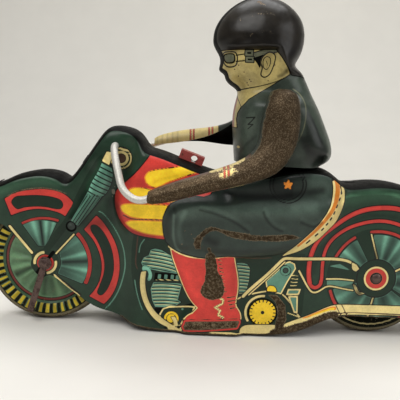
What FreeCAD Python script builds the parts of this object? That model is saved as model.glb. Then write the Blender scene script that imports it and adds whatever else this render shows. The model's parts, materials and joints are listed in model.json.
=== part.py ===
import FreeCAD, Part
import math, os

os.makedirs("parts", exist_ok=True)
Vector = FreeCAD.Vector

# Wind-up tin motorcycle with a rider. Millimetres.
# The front of the toy is -X, its left side is -Y, +Z is up and the wheels stand on z = 0.

# ---- driving dimensions ----
tin = 0.45                 # sheet of the pressed shells
wheel_radius = 28.0        # front and rear wheels
front_x = -80.0            # front axle
rear_x = 66.0              # rear axle
axle_z = wheel_radius
front_fender_radius = 40.6
rear_fender_radius = 42.0
axle_radius = 1.5
running_fit = 0.05         # radial play of a turning fit
seam_corner = 3.4          # rounding between a shell's face and its seam wall
corner_power = 2.3         # how square that corner is, 2 is an ellipse

drive_x = 9.0              # clockwork drive axle
drive_radius = 11.0        # small wheels under the belly
module = 0.6               # clockwork tooth module
great_teeth, second_pinion_teeth = 54, 12
second_teeth, drive_pinion_teeth, governor_pinion_teeth = 40, 16, 10
great_x, great_z = 14.0, 42.0
plate_gap = 8.6            # inner face of each motor plate from the middle plane
plate_tin = 0.8


def save(name, *solids):
    """Writes one node: a single solid, or several separate ones."""
    shape = solids[0] if len(solids) == 1 else Part.makeCompound(list(solids))
    for solid in shape.Solids:
        if not solid.isValid() or solid.Volume <= 0:
            print("CHECK", name, solid.isValid(), round(solid.Volume, 2))
    shape.exportStep("parts/" + name + ".step")
    box = shape.BoundBox
    print("%-24s x %7.1f %7.1f  y %6.1f %6.1f  z %6.1f %6.1f  vol %8.1f" % (
        name, box.XMin, box.XMax, box.YMin, box.YMax, box.ZMin, box.ZMax, shape.Volume))


def rod(x, z, radius, y0, y1):
    return Part.makeCylinder(radius, y1 - y0, Vector(x, y0, z), Vector(0, 1, 0))


def tube(x, z, outer, inner, y0, y1):
    return rod(x, z, outer, y0, y1).cut(rod(x, z, inner, y0 - 1, y1 + 1))


def mirrored(shape):
    return shape.mirror(Vector(0, 0, 0), Vector(0, 1, 0))


def plate(outline, y0, y1):
    """A flat piece cut to a side-view outline of (x, z) points."""
    points = [Vector(x, y0, z) for x, z in outline]
    face = Part.Face(Part.makePolygon(points + points[:1]))
    return face.extrude(Vector(0, y1 - y0, 0))


def around(x, z, radius, first, last, count):
    """(x, z) points on an arc, angles in degrees from +X towards +Z."""
    step = (last - first) / (count - 1)
    angles = [math.radians(first + step * i) for i in range(count)]
    return [(x + radius * math.cos(a), z + radius * math.sin(a)) for a in angles]


# ---- pressed sheet, built from a grid of points ----

def smooth(t):
    t = min(max(t, 0.0), 1.0)
    return t * t * (3 - 2 * t)


def along(table, x):
    """Smooth value at x from a short list of (x, value)."""
    if x <= table[0][0]:
        return table[0][1]
    for (x0, a), (x1, b) in zip(table, table[1:]):
        if x <= x1:
            return a + (b - a) * smooth((x - x0) / (x1 - x0))
    return table[-1][1]


def segment_distance(px, pz, a, b):
    dx, dz = b[0] - a[0], b[1] - a[1]
    t = ((px - a[0]) * dx + (pz - a[1]) * dz) / (dx * dx + dz * dz)
    t = min(max(t, 0.0), 1.0)
    return math.hypot(px - a[0] - t * dx, pz - a[1] - t * dz)


def line_distance(px, pz, line):
    return min(segment_distance(px, pz, a, b) for a, b in zip(line, line[1:]))


def inside_distance(px, pz, outline):
    """Distance to a closed outline, positive inside it."""
    inside = False
    for (ax, az), (bx, bz) in zip(outline, outline[1:] + outline[:1]):
        if (az > pz) != (bz > pz) and px < ax + (pz - az) * (bx - ax) / (bz - az):
            inside = not inside
    distance = line_distance(px, pz, outline + outline[:1])
    return distance if inside else -distance


def corner(distance, radius, power):
    """Share of the full depth at a distance in from the seam, 0 at the seam and 1 past the corner."""
    t = min(distance / radius, 1.0)
    return (1 - (1 - t) ** power) ** (1 / power)


def spline_points(points, steps):
    """Points along a smooth curve through (x, z) points, with the same steps in every span."""
    knots = [float(i) for i in range(len(points))]
    curve = Part.BSplineCurve()
    curve.interpolate(Points=[Vector(x, 0, z) for x, z in points], Parameters=knots)
    count = (len(points) - 1) * steps
    found = [curve.value(i / steps) for i in range(count + 1)]
    return [(p.x, p.z) for p in found]


def grid_normals(grid):
    """Unit normals of a point grid, from the neighbours of each point."""
    rows, columns = len(grid), len(grid[0])
    normals = []
    for i in range(rows):
        line = []
        for j in range(columns):
            u = grid[min(i + 1, rows - 1)][j] - grid[max(i - 1, 0)][j]
            v = grid[i][min(j + 1, columns - 1)] - grid[i][max(j - 1, 0)]
            n = u.cross(v)
            n.normalize()
            line.append(n)
        normals.append(line)
    return normals


def even_knots(count):
    """Knots and multiplicities of a clamped cubic through count poles."""
    knots = [float(i) for i in range(count - 2)]
    return knots, [4] + [1] * (count - 4) + [4]


def surface_of(grid):
    """A cubic surface with the grid as its poles: it stays inside them, so it never ripples."""
    u_knots, u_multiplicities = even_knots(len(grid))
    v_knots, v_multiplicities = even_knots(len(grid[0]))
    surface = Part.BSplineSurface()
    surface.buildFromPolesMultsKnots(
        grid, u_multiplicities, v_multiplicities, u_knots, v_knots, False, False, 3, 3)
    return surface


def formed_sheet(outer, inner):
    """A closed solid between two point grids of the same size."""
    skins = [surface_of(outer), surface_of(inner)]
    faces = [skin.toShape() for skin in skins]
    u0, u1, v0, v1 = skins[0].bounds()
    iu0, iu1, iv0, iv1 = skins[1].bounds()
    pairs = [
        (skins[0].uIso(u0), skins[1].uIso(iu0)),
        (skins[0].uIso(u1), skins[1].uIso(iu1)),
        (skins[0].vIso(v0), skins[1].vIso(iv0)),
        (skins[0].vIso(v1), skins[1].vIso(iv1)),
    ]
    for one, other in pairs:
        faces.append(Part.makeRuledSurface(one.toShape(), other.toShape()))
    shell = Part.Shell(faces)
    shell.sewShape()
    solid = Part.Solid(shell)
    if solid.Volume < 0:
        solid.reverse()
    return solid


def flattened(normal):
    """The normal laid into the plane of the seam, where it has a direction there."""
    flat = Vector(normal.x, 0, normal.z)
    if flat.Length < 1e-6:
        return normal
    flat.normalize()
    return flat


def thickened(grid, seam_edges, thickness=tin):
    """Inner grid of a sheet. The edges named in seam_edges stay in the plane of the seam."""
    normals = grid_normals(grid)
    middle = grid[len(grid) // 2][len(grid[0]) // 2]
    flip = -1 if normals[len(grid) // 2][len(grid[0]) // 2].y * middle.y > 0 else 1
    last = len(grid[0]) - 1
    inner = []
    for line, sides in zip(grid, normals):
        shifted = []
        for j, (point, normal) in enumerate(zip(line, sides)):
            if (j == 0 and "first" in seam_edges) or (j == last and "last" in seam_edges):
                normal = flattened(normal)
            shifted.append(point + normal * (thickness * flip))
        inner.append(shifted)
    return inner


# ---- body halves ----
# Each station pairs a point on the top seam with a point on the open lower edge.

front_arc = around(front_x, axle_z, front_fender_radius, 130, 92, 5)
rear_arc = around(rear_x, axle_z, rear_fender_radius, 90, -17, 12)

top_seam = [(-105.9, 43.6), (-107.4, 45.0), (-107.7, 49.6)] + front_arc + [
    (-75.0, 67.3), (-71.8, 65.6), (-69.3, 67.2), (-66.3, 71.2), (-62.5, 77.0), (-58.8, 82.6),
    (-55.7, 86.9), (-52.1, 89.2), (-47.0, 89.3), (-41.8, 87.6), (-38.4, 84.3), (-36.2, 81.2),
    (-33.4, 79.9), (-29.3, 78.8), (-22.5, 76.4), (-13.3, 73.2), (-5.0, 70.9), (3.0, 70.2),
    (12.0, 71.7), (24.0, 74.4), (33.0, 75.4), (39.6, 74.8), (43.6, 73.2), (46.8, 70.9),
    (49.6, 69.2), (53.5, 68.8), (59.0, 69.5)] + rear_arc
lower_edge = [
    (-105.2, 44.0), (-104.6, 44.2), (-103.6, 44.4),
    (-102.4, 44.5), (-101.1, 44.5), (-99.8, 44.4), (-98.4, 43.9), (-93.8, 39.9),
    (-86.4, 31.6), (-86.6, 27.4), (-84.0, 22.9), (-80.4, 21.6), (-77.0, 22.3), (-71.2, 18.2),
    (-65.6, 14.1), (-60.5, 10.6), (-55.4, 8.2), (-50.0, 6.8), (-45.8, 5.6), (-42.4, 4.2),
    (-38.6, 2.9), (-33.0, 1.7), (-25.5, 1.2), (-16.0, 1.0), (-7.0, 1.0), (2.0, 1.0),
    (11.0, 1.1), (20.0, 1.3), (27.5, 2.2), (33.0, 3.8), (37.5, 5.6), (41.5, 7.4),
    (45.5, 8.9), (50.0, 9.8), (56.0, 10.2),
    (63.0, 10.2), (70.0, 10.2), (77.0, 10.2), (83.0, 10.2), (88.0, 10.2), (92.4, 10.3),
    (96.2, 10.5), (99.3, 10.8), (101.7, 11.2), (103.3, 11.7), (104.4, 12.4), (105.0, 13.2)]

# Depth of the face from the middle plane, along the length.
face_depth = [(-108, 8.6), (-92, 10.4), (-50, 10.8), (-39, 16.0), (34, 16.0), (60, 12.6),
              (92, 12.4), (108, 10.8)]

# Raised forms: outline, depth, width of the slope around the outline.
tank_form = [(-37.5, 84), (-44.5, 67), (-48.8, 58), (-47.4, 50.5), (-42.2, 45.2), (-33.4, 42.8),
             (-20, 42.5), (-4, 60), (-4, 84)]
post_form = [(-60.5, 75), (-57.5, 82), (-53.5, 86), (-46, 87), (-40, 84), (-37, 78), (-43.5, 68),
             (-52, 62), (-56.5, 68)]
fork_form = [(-68.6, 48.0), (-65.6, 44.8), (-54.6, 60.0), (-50.4, 69.5), (-55.6, 73.0), (-60.0, 63.0)]
thigh_form = [(-27.2, 53), (-26.6, 57), (-22.5, 60.6), (-14, 61.4), (20, 60.4), (40, 62.5), (47.2, 66),
              (44.8, 54), (38.5, 46.2), (30, 40.6), (8, 36.6), (-9.5, 34.6), (-20, 36.6), (-25.5, 42.5)]
hip_form = [(0, 60.8), (20, 59.8), (40, 61.5), (47.0, 66.4), (46, 80), (-2, 80)]
boot_form = [(-24.2, 39), (-21, 28), (-15.4, 16.6), (-12.4, 12.4), (-18.4, 7.6), (-19.4, 3.4), (-18, 0),
             (7, 0), (7.6, 6), (7.0, 10), (4.9, 15), (5.8, 20), (4.6, 28), (2.4, 37), (-10, 40)]
raised_forms = [
    (post_form, 12.0, 6.0),
    (fork_form, 12.6, 3.6),
    (tank_form, 17.2, 6.5),
    (hip_form, 18.4, 6.0),
    (thigh_form, 20.4, 6.0),
    (boot_form, 18.2, 3.6),
]

# A slot in the seam for the tongue of the rider's web.
slot_x, slot_half_length, slot_half_width, slot_run_out = 22.0, 4.5, 0.45, 2.5


def body_depth(x, z):
    depth = along(face_depth, x)
    for outline, level, slope in raised_forms:
        share = smooth(inside_distance(x, z, outline) / slope + 0.5)
        depth += (level - depth) * share
    return depth


def slot_opening(x, z):
    if z < axle_z:
        return 0.0
    return slot_half_width * smooth((slot_half_length + slot_run_out - abs(x - slot_x)) / slot_run_out)


def rib_shares(length, radius, corner_rows, face_rows):
    """Places along a rib: close together round the seam corner, then even."""
    reach = min(radius, 0.45 * length)
    turns = [math.cos(math.radians(90 * i / corner_rows)) for i in range(corner_rows)]
    near = [reach * (1 - turn ** (2 / corner_power)) for turn in turns]
    far = [reach + (length - reach) * i / face_rows for i in range(face_rows + 1)]
    return [d / length for d in near + far]


def body_half():
    steps, corner_rows, face_rows = 5, 10, 34
    seam = spline_points(top_seam, steps)
    edge = spline_points(lower_edge, steps)
    grid = []
    for (tx, tz), (bx, bz) in zip(seam, edge):
        line = []
        for share in rib_shares(math.hypot(bx - tx, bz - tz), seam_corner, corner_rows, face_rows):
            x = tx + (bx - tx) * share
            z = tz + (bz - tz) * share
            inset = 0.0 if share == 0 else line_distance(x, z, seam)
            depth = body_depth(x, z) * corner(inset, seam_corner, corner_power)
            line.append(Vector(x, -max(depth, slot_opening(x, z)), z))
        grid.append(line)
    return formed_sheet(grid, thickened(grid, ["first"]))


# ---- rider: torso and head, pressed in two halves ----
# Each station pairs a point on the front seam with one on the back seam, from the hem upwards.

rider_front = [
    (1.6, 76.2), (1.0, 82.0), (0.4, 88.0), (0.0, 94.0), (0.3, 99.0), (1.2, 103.4), (1.3, 106.8),
    (-1.6, 109.0), (-3.9, 111.4), (-4.8, 113.6), (-6.9, 115.2), (-6.6, 118.2), (-7.3, 121.6),
    (-9.5, 125.2), (-10.1, 128.8), (-9.4, 132.8), (-7.2, 137.0), (-3.4, 141.2), (1.4, 144.4),
    (5.6, 146.1), (8.4, 146.8)]
rider_back = [
    (39.0, 75.4), (43.4, 78.2), (44.2, 82.6), (42.8, 87.8), (40.4, 93.2), (37.8, 98.8), (35.2, 103.8),
    (32.8, 108.4), (30.6, 112.6), (28.4, 115.8), (26.0, 118.0), (26.4, 120.0), (27.8, 122.8),
    (28.8, 126.0), (29.2, 129.6), (28.8, 133.6), (27.0, 138.0), (23.4, 142.0), (18.8, 144.9),
    (14.2, 146.3), (11.2, 146.8)]
rider_depths = [(76, 17.8), (88, 18.6), (100, 19.4), (107.5, 13.2), (124, 14.0), (147, 14.0)]
rider_corners = [(76, 11.0), (100, 12.0), (109, 10.0), (118, 10.0), (129, 19.0), (147, 19.0)]
helmet_form = [(-14, 122.6), (-7.2, 122.8), (16.4, 123.8), (21.2, 115.0), (32, 113), (36, 150), (-16, 150)]
helmet_depth, helmet_slope = 17.6, 2.2


def rider_half():
    steps, columns = 3, 36
    front = spline_points(rider_front, steps)
    back = spline_points(rider_back, steps)
    seam = front + back[::-1]
    shares = [0.5 - 0.5 * math.cos(math.pi * i / columns) for i in range(columns + 1)]
    grid = []
    for (fx, fz), (bx, bz) in zip(front, back):
        line = []
        for share in shares:
            x = fx + (bx - fx) * share
            z = fz + (bz - fz) * share
            depth = along(rider_depths, z)
            lift = smooth(inside_distance(x, z, helmet_form) / helmet_slope + 0.5)
            depth += (helmet_depth - depth) * lift
            inset = 0.0 if share in (0.0, 1.0) else line_distance(x, z, seam)
            line.append(Vector(x, -depth * corner(inset, along(rider_corners, z), 2.0), z))
        grid.append(line)
    crown = [Vector(p.x, 0, p.z) for p in grid[-1]]
    grid[-1] = crown
    inner = thickened(grid, ["first", "last"])
    inner[-1] = [point - Vector(0, 0, tin) for point in crown]
    return formed_sheet(grid, inner)


# ---- arms: half pipes, open towards the rider ----
# Stations run from the shoulder to the fist: upper edge, lower edge, distance of their middle
# from the middle plane, and the height of the arch over it. Where an arm leans, the arch turns
# about its own length until it is open downwards at 90 degrees.

left_arm_stations = [
    ((17.0, 107.5), (22.2, 107.3), 18.2, 1.6), ((14.0, 106.0), (25.2, 105.2), 18.8, 4.8),
    ((12.2, 101.2), (26.7, 99.8), 19.7, 6.8), ((10.9, 95.2), (27.1, 92.6), 19.8, 7.0),
    ((10.3, 88.8), (25.8, 84.8), 20.4, 7.0), ((9.2, 84.2), (22.2, 77.6), 21.8, 7.0),
    ((6.2, 80.7), (16.4, 72.6), 24.0, 6.8), ((1.4, 77.8), (8.4, 69.6), 26.2, 6.5),
    ((-5.4, 75.2), (-2.4, 66.9), 28.4, 6.2), ((-13.0, 72.6), (-12.0, 64.6), 30.2, 5.8),
    ((-20.6, 70.2), (-20.6, 62.2), 31.5, 5.5), ((-26.2, 68.2), (-27.0, 60.6), 31.9, 5.1),
    ((-30.6, 66.4), (-31.4, 60.0), 32.0, 4.5), ((-33.4, 65.0), (-33.8, 60.2), 32.0, 3.3)]
left_arm_lean = [0] * len(left_arm_stations)
right_arm_stations = [
    ((17.0, 107.6), (21.6, 106.6), 18.2, 1.6), ((12.8, 105.8), (24.4, 102.4), 19.2, 5.0),
    ((9.2, 103.0), (24.0, 95.4), 20.0, 6.8), ((5.6, 98.4), (19.6, 88.2), 22.0, 7.0),
    ((1.2, 94.4), (12.0, 81.8), 23.8, 6.8), ((-5.2, 91.6), (1.2, 78.6), 26.6, 6.4),
    ((-13.2, 89.0), (-9.6, 78.4), 29.4, 6.0), ((-21.0, 86.4), (-19.4, 78.4), 31.8, 5.8),
    ((-28.0, 84.8), (-27.4, 77.6), 33.4, 5.4), ((-33.6, 83.3), (-33.4, 77.5), 33.7, 4.5),
    ((-37.0, 82.1), (-36.8, 77.9), 33.7, 3.0)]
right_arm_lean = [0, 0, 0, 10, 32, 54, 74, 86, 90, 90, 90]


def arm(stations, leans):
    steps, columns = 3, 14
    upper = spline_points([station[0] for station in stations], steps)
    lower = spline_points([station[1] for station in stations], steps)
    reach = spline_points([(float(i), station[2]) for i, station in enumerate(stations)], steps)
    arch = spline_points([(float(i), station[3]) for i, station in enumerate(stations)], steps)
    lean = spline_points([(float(i), float(degrees)) for i, degrees in enumerate(leans)], steps)
    grid = []
    for (ux, uz), (lx, lz), (_, edge), (_, height), (_, degrees) in zip(upper, lower, reach, arch, lean):
        across = Vector(lx - ux, 0, lz - uz)
        half = across.Length / 2
        across.normalize()
        middle = Vector((ux + lx) / 2, -edge, (uz + lz) / 2)
        tilt = math.radians(degrees)
        line = []
        for j in range(columns + 1):
            turn = math.pi * j / columns
            down = -half * math.cos(turn)
            out = height * math.sin(turn)
            place = middle + across * (down * math.cos(tilt) - out * math.sin(tilt))
            place.y -= out * math.cos(tilt) + down * math.sin(tilt)
            line.append(place)
        grid.append(line)
    return formed_sheet(grid, thickened(grid, []))


# ---- bent wire: straight runs joined by tangent arcs ----

def wire_path(points, share=0.45):
    points = [Vector(*p) for p in points]
    edges = []
    start = points[0]
    for before, at, after in zip(points, points[1:], points[2:]):
        one, two = before - at, after - at
        room = share * min(one.Length, two.Length)
        one.normalize()
        two.normalize()
        first, last = at + one * room, at + two * room
        half_turn = math.acos(max(-1.0, min(1.0, one.dot(two)))) / 2
        bisector = one + two
        bisector.normalize()
        centre = at + bisector * (room / math.cos(half_turn))
        middle = centre - bisector * (room * math.tan(half_turn))
        edges.append(Part.LineSegment(start, first).toShape())
        edges.append(Part.Arc(first, middle, last).toShape())
        start = last
    edges.append(Part.LineSegment(start, points[-1]).toShape())
    return Part.Wire(edges)


def bent_rod(points, radius):
    path = wire_path(points)
    direction = Vector(*points[1]) - Vector(*points[0])
    section = Part.Wire(Part.makeCircle(radius, Vector(*points[0]), direction))
    return path.makePipeShell([section], True, False)


bar_radius = 1.5
bar_x, bar_z = -49.8, 81.2      # where the bar runs through the post
bar_corner = 17.0               # the bar is straight inside the post, and bends outside it
handlebar_route = [
    (-27.5, -33.6, 64.9), (-37.0, -33.6, 60.6), (-43.8, -31.0, 64.6), (-47.4, -25.0, 75.0),
    (bar_x, -bar_corner, bar_z), (bar_x, bar_corner, bar_z), (-46.6, 26.5, 79.6), (-40.6, 33.4, 79.0),
    (-30.5, 33.6, 82.2)]


# ---- wheels ----
# Radius and distance from the middle plane along a pressed half: dished web, ring, tyre.

wheel_profile = [(2.7, 6.3), (5.2, 6.3), (6.6, 5.3), (12.0, 4.6), (17.6, 3.9), (20.0, 4.4), (22.2, 5.8),
                 (24.8, 6.2), (26.9, 5.0), (27.8, 2.7), (wheel_radius, 0.0)]
hub_radius = 2.7


def spun_half(x, z, profile, thickness, side):
    """A thin pressing turned about a crossways axis; side is -1 for the left half."""
    fine = spline_points([(r, y) for r, y in profile], 4)
    inner = []
    for i, (r, y) in enumerate(fine):
        (r0, y0), (r1, y1) = fine[max(i - 1, 0)], fine[min(i + 1, len(fine) - 1)]
        length = math.hypot(r1 - r0, y1 - y0)
        inner.append((r + thickness * (y1 - y0) / length, y - thickness * (r1 - r0) / length))
    inner[0] = (fine[0][0], fine[0][1] - thickness)
    inner[-1] = (fine[-1][0] - thickness, 0.0)
    curves = []
    for line in (fine, inner):
        curve = Part.BSplineCurve()
        curve.interpolate(Points=[Vector(x + r, side * y, z) for r, y in line])
        curves.append(curve.toShape())
    ends = []
    for at in (0, -1):
        one = Vector(x + fine[at][0], side * fine[at][1], z)
        two = Vector(x + inner[at][0], side * inner[at][1], z)
        ends.append(Part.LineSegment(one, two).toShape())
    face = Part.Face(Part.Wire(Part.__sortEdges__(curves + ends)))
    solid = face.revolve(Vector(x, 0, z), Vector(0, 1, 0), 360)
    if solid.Volume < 0:
        solid.reverse()
    return solid


def headed_axle(x, z, radius, left_end, right_end):
    """A plain axle with a low peened head over each end."""
    head_radius, head_height = 2.2, 0.8
    pin = rod(x, z, radius, -left_end, right_end)
    for side, end in ((-1, left_end), (1, right_end)):
        ball_radius = (head_radius ** 2 + head_height ** 2) / (2 * head_height)
        centre = Vector(x, side * (end + head_height - ball_radius), z)
        dome = Part.makeSphere(ball_radius, centre)
        face_at = end if side > 0 else -end - head_height
        pin = pin.fuse(dome.common(rod(x, z, head_radius, face_at, face_at + head_height)))
    return pin.removeSplitter()


# ---- clockwork ----

def distance_between(a, b):
    return math.hypot(a[0] - b[0], a[1] - b[1])


def meeting_point(a, b, from_a, from_b, side):
    """The point at given distances from a and b; side picks one of the two."""
    gap = distance_between(a, b)
    ux, uz = (b[0] - a[0]) / gap, (b[1] - a[1]) / gap
    forward = (from_a ** 2 - from_b ** 2 + gap ** 2) / (2 * gap)
    offset = side * math.sqrt(from_a ** 2 - forward ** 2)
    return a[0] + ux * forward - uz * offset, a[1] + uz * forward + ux * offset


def pitch_radius(teeth):
    return module * teeth / 2


drive_z = drive_radius
great_at = (great_x, great_z)
drive_at = (drive_x, drive_z)
second_at = meeting_point(great_at, drive_at,
                          pitch_radius(great_teeth) + pitch_radius(second_pinion_teeth),
                          pitch_radius(second_teeth) + pitch_radius(drive_pinion_teeth), -1)
governor_distance = pitch_radius(second_teeth) + pitch_radius(governor_pinion_teeth)
governor_direction = math.radians(195)
governor_at = (second_at[0] + governor_distance * math.cos(governor_direction),
               second_at[1] + governor_distance * math.sin(governor_direction))
verge_at = (governor_at[0] - 8.4, governor_at[1] + 7.0)

great_y = (0.8, 2.0)
ratchet_y = (2.4, 3.3)
second_pinion_y = (0.4, 2.4)
second_y = (4.2, 5.0)
pinion_y = (3.6, 5.6)
star_y = (-4.0, -3.2)
spring_y = (-7.6, -0.8)
great_arbor_radius, second_arbor_radius = 2.0, 1.0
drive_axle_radius, governor_arbor_radius = 1.2, 0.8
arbor_end = plate_gap + plate_tin + 0.3    # thin arbors end just outside the motor plates
wheel_tooth, pinion_tooth = 0.42, 0.36     # width of a tooth as a share of the pitch


def gear(at, teeth, phase, bore, y0, y1, width):
    """A toothed disc. One tooth points along phase; width is the tooth's share of the pitch."""
    radius = pitch_radius(teeth)
    pitch = 2 * math.pi / teeth
    tip, root = radius + 0.85 * module, radius - 1.15 * module
    corners = [(root, -0.62 * width), (radius, -0.5 * width), (tip, -0.2 * width),
               (tip, 0.2 * width), (radius, 0.5 * width), (root, 0.62 * width)]
    outline = []
    for tooth in range(teeth):
        for r, share in corners:
            angle = phase + pitch * (tooth + share)
            outline.append((at[0] + r * math.cos(angle), at[1] + r * math.sin(angle)))
    return plate(outline, y0, y1).cut(rod(at[0], at[1], bore, y0 - 1, y1 + 1))


def direction(a, b):
    return math.atan2(b[1] - a[1], b[0] - a[0])


def meshing_phase(wheel_at, wheel_teeth, wheel_phase, pinion_at, pinion_teeth):
    """Phase that puts a gap of the pinion opposite the nearest tooth of the wheel."""
    facing = direction(wheel_at, pinion_at)
    pitch = 2 * math.pi / wheel_teeth
    off_line = (wheel_phase - facing + pitch / 2) % pitch - pitch / 2
    gap = facing + math.pi - off_line * wheel_teeth / pinion_teeth
    return gap + math.pi / pinion_teeth


def saw_wheel(at, outer, inner, teeth, phase, bore, y0, y1):
    """A ratchet or star wheel: each tooth rises slowly and drops steeply."""
    outline = []
    for tooth in range(teeth):
        for r, share in ((outer, 0.0), (inner, 0.12)):
            angle = phase + 2 * math.pi * (tooth + share) / teeth
            outline.append((at[0] + r * math.cos(angle), at[1] + r * math.sin(angle)))
    return plate(outline, y0, y1).cut(rod(at[0], at[1], bore, y0 - 1, y1 + 1))


def mainspring():
    """A flat coiled strip, its turns slightly apart."""
    first, last, turns, strip = 5.0, 13.6, 9.0, 0.35
    count = int(turns * 12)
    edges = []
    ends = []
    for shift in (-strip / 2, strip / 2):
        line = []
        for i in range(count + 1):
            angle = 2 * math.pi * turns * i / count
            r = first + (last - first) * i / count + shift
            line.append(Vector(great_x + r * math.cos(angle), spring_y[0], great_z + r * math.sin(angle)))
        curve = Part.BSplineCurve()
        curve.interpolate(Points=line)
        edges.append(curve.toShape())
        ends.append((line[0], line[-1]))
    for one, two in zip(ends[0], ends[1]):
        edges.append(Part.LineSegment(one, two).toShape())
    face = Part.Face(Part.Wire(Part.__sortEdges__(edges)))
    return face.extrude(Vector(0, spring_y[1] - spring_y[0], 0))


plate_outline = [(-25.5, 14), (-19, 7), (-4, 5), (20, 5), (31, 9.5), (33, 24), (35.5, 56), (30, 61.5),
                 (-5, 62.5), (-10.5, 57), (-25, 42)]
mounts = [(30.0, 54.0), (-4.5, 54.5), (28.0, 14.5), (-21.0, 15.0)]
pillars = mounts + [(-20.6, 41.0)]
pillar_radius, mount_radius, mount_gap = 1.8, 2.2, 0.1


def motor_plate(side):
    inner, outer = side * plate_gap, side * (plate_gap + plate_tin)
    y0, y1 = min(inner, outer), max(inner, outer)
    sheet = plate(plate_outline, y0, y1)
    for (x, z), radius in ((great_at, great_arbor_radius), (second_at, second_arbor_radius),
                           (drive_at, drive_axle_radius), (governor_at, governor_arbor_radius),
                           (verge_at, governor_arbor_radius)):
        sheet = sheet.cut(rod(x, z, radius + running_fit, y0 - 1, y1 + 1))
    return sheet


def mount_post(x, z, side):
    start = plate_gap + plate_tin
    end = body_depth(x, z) - tin - mount_gap
    return rod(x, z, mount_radius, min(side * start, side * end), max(side * start, side * end))


def verge_plate():
    """A rocking anchor over the star wheel, its two pallets just clear of the teeth."""
    facing = direction(governor_at, verge_at)
    outline = []
    for r, degrees in ((6.9, 38), (8.3, 44), (12.3, 22), (13.3, 9), (13.3, -9), (12.3, -22), (8.3, -44),
                       (6.9, -38), (9.0, -18), (9.0, 18)):
        angle = facing + math.radians(degrees)
        outline.append((governor_at[0] + r * math.cos(angle), governor_at[1] + r * math.sin(angle)))
    return plate(outline, *star_y).cut(rod(*verge_at, governor_arbor_radius, -20, 20))


click_radius, click_turn = 9.6, 60
click_rivet_radius = 0.8


def click_point(radius, degrees):
    angle = math.radians(degrees)
    return great_x + radius * math.cos(angle), great_z + radius * math.sin(angle)


def click():
    outline = [click_point(*at) for at in ((11.3, 64), (11.0, 53), (7.4, 27), (5.7, 23), (5.8, 31),
                                           (8.0, 57), (8.7, 66))]
    hole = rod(*click_point(click_radius, click_turn), click_rivet_radius, 0, 5)
    return plate(outline, *ratchet_y).cut(hole)


drive_wheel_width, drive_wheel_side = 3.0, 11.6
tread_round, recess_outer, recess_inner, recess_depth = 0.7, 8.4, 3.2, 0.8


def drive_wheel():
    """Left wheel of the drive axle: rounded tread and a shallow recess in its outer face."""
    outer_face = -drive_wheel_side - drive_wheel_width
    disc = rod(drive_x, drive_z, drive_radius, outer_face, -drive_wheel_side)
    disc = disc.makeFillet(tread_round, [edge for edge in disc.Edges if edge.BoundBox.YLength < 0.01])
    recess = tube(drive_x, drive_z, recess_outer, recess_inner, outer_face - 1, outer_face + recess_depth)
    return disc.cut(recess).cut(rod(drive_x, drive_z, drive_axle_radius, -40, 40))


key_start, key_sleeve, key_cap = 21.2, 9.0, 1.5
key_sleeve_radius, key_tin, key_web = 3.3, 1.4, 7.0
key_wing_y, key_wing_x, key_wing_radius, key_hole_radius = 31.0, 8.2, 6.0, 2.8


def winding_key():
    """A sleeve on the arbor with two pierced wings."""
    sleeve = rod(great_x, great_z, key_sleeve_radius, key_start, key_start + key_sleeve)
    low = great_z - key_tin / 2
    body = Part.makeBox(2 * key_wing_x, key_web, key_tin,
                        Vector(great_x - key_wing_x, key_wing_y - key_web / 2, low))
    holes = []
    for side in (-1, 1):
        centre = Vector(great_x + side * key_wing_x, key_wing_y, low)
        body = body.fuse(Part.makeCylinder(key_wing_radius, key_tin, centre))
        holes.append(Part.makeCylinder(key_hole_radius, key_tin * 3, centre - Vector(0, 0, key_tin)))
    body = body.fuse(sleeve)
    for hole in holes:
        body = body.cut(hole)
    bore = rod(great_x, great_z, great_arbor_radius, key_start - 1, key_start + key_sleeve - key_cap)
    return body.cut(bore).removeSplitter()


# ---- small body pieces ----

def on_seam(shape, station):
    """Moves a piece made at the origin, along X and upright, onto the top seam and its slope."""
    fine = spline_points(top_seam, 4)
    index = round(station * 4)
    x, z = fine[index]
    (x0, z0), (x1, z1) = fine[index - 1], fine[index + 1]
    slope = math.degrees(math.atan2(z1 - z0, x1 - x0))
    shape.rotate(Vector(0, 0, 0), Vector(0, 1, 0), -slope)
    shape.translate(Vector(x, 0, z))
    return shape


tab_length, tab_width, tab_tin = 4.2, 3.4, 0.35
tab_stations = [3.5, 11.5, 33.0, 37.5, 40.0, 43.0]


def seam_tab(station):
    flat = Part.makeBox(tab_length, tab_width, tab_tin, Vector(-tab_length / 2, -tab_width / 2, 0.03))
    return on_seam(flat, station)


clip_length, clip_width, clip_height, clip_tin, clip_hole_radius = 11.0, 9.0, 3.8, 0.5, 1.5


def tank_clip():
    """An upturned channel across the seam with a hole through both sides."""
    outer = Part.makeBox(clip_length, clip_width, clip_height,
                         Vector(-clip_length / 2, -clip_width / 2, 0.25))
    inner = Part.makeBox(clip_length + 2, clip_width - 2 * clip_tin, clip_height - clip_tin,
                         Vector(-clip_length / 2 - 1, -clip_width / 2 + clip_tin, 0))
    hole = rod(1.2, clip_height / 2 + 0.1, clip_hole_radius, -clip_width, clip_width)
    return on_seam(outer.cut(inner).cut(hole), 22.5)


web_half_tin, tongue_half = 0.35, 4.0


def rider_web():
    """A flat web between the rider's halves; its tongue goes down through the slot in the seam."""
    outline = [(1.9, 80), (slot_x - tongue_half, 80), (slot_x - tongue_half, 66),
               (slot_x + tongue_half, 66), (slot_x + tongue_half, 80), (41.2, 80.5), (40.6, 86), (1.4, 86)]
    return plate(outline, -web_half_tin, web_half_tin)


stay_inner, stay_tin, stay_length, stay_turn = 10.95, 0.6, 23.4, -106.7
stay_eye_radius, stay_width, stay_foot = 2.9, 2.8, 3.6


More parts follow.
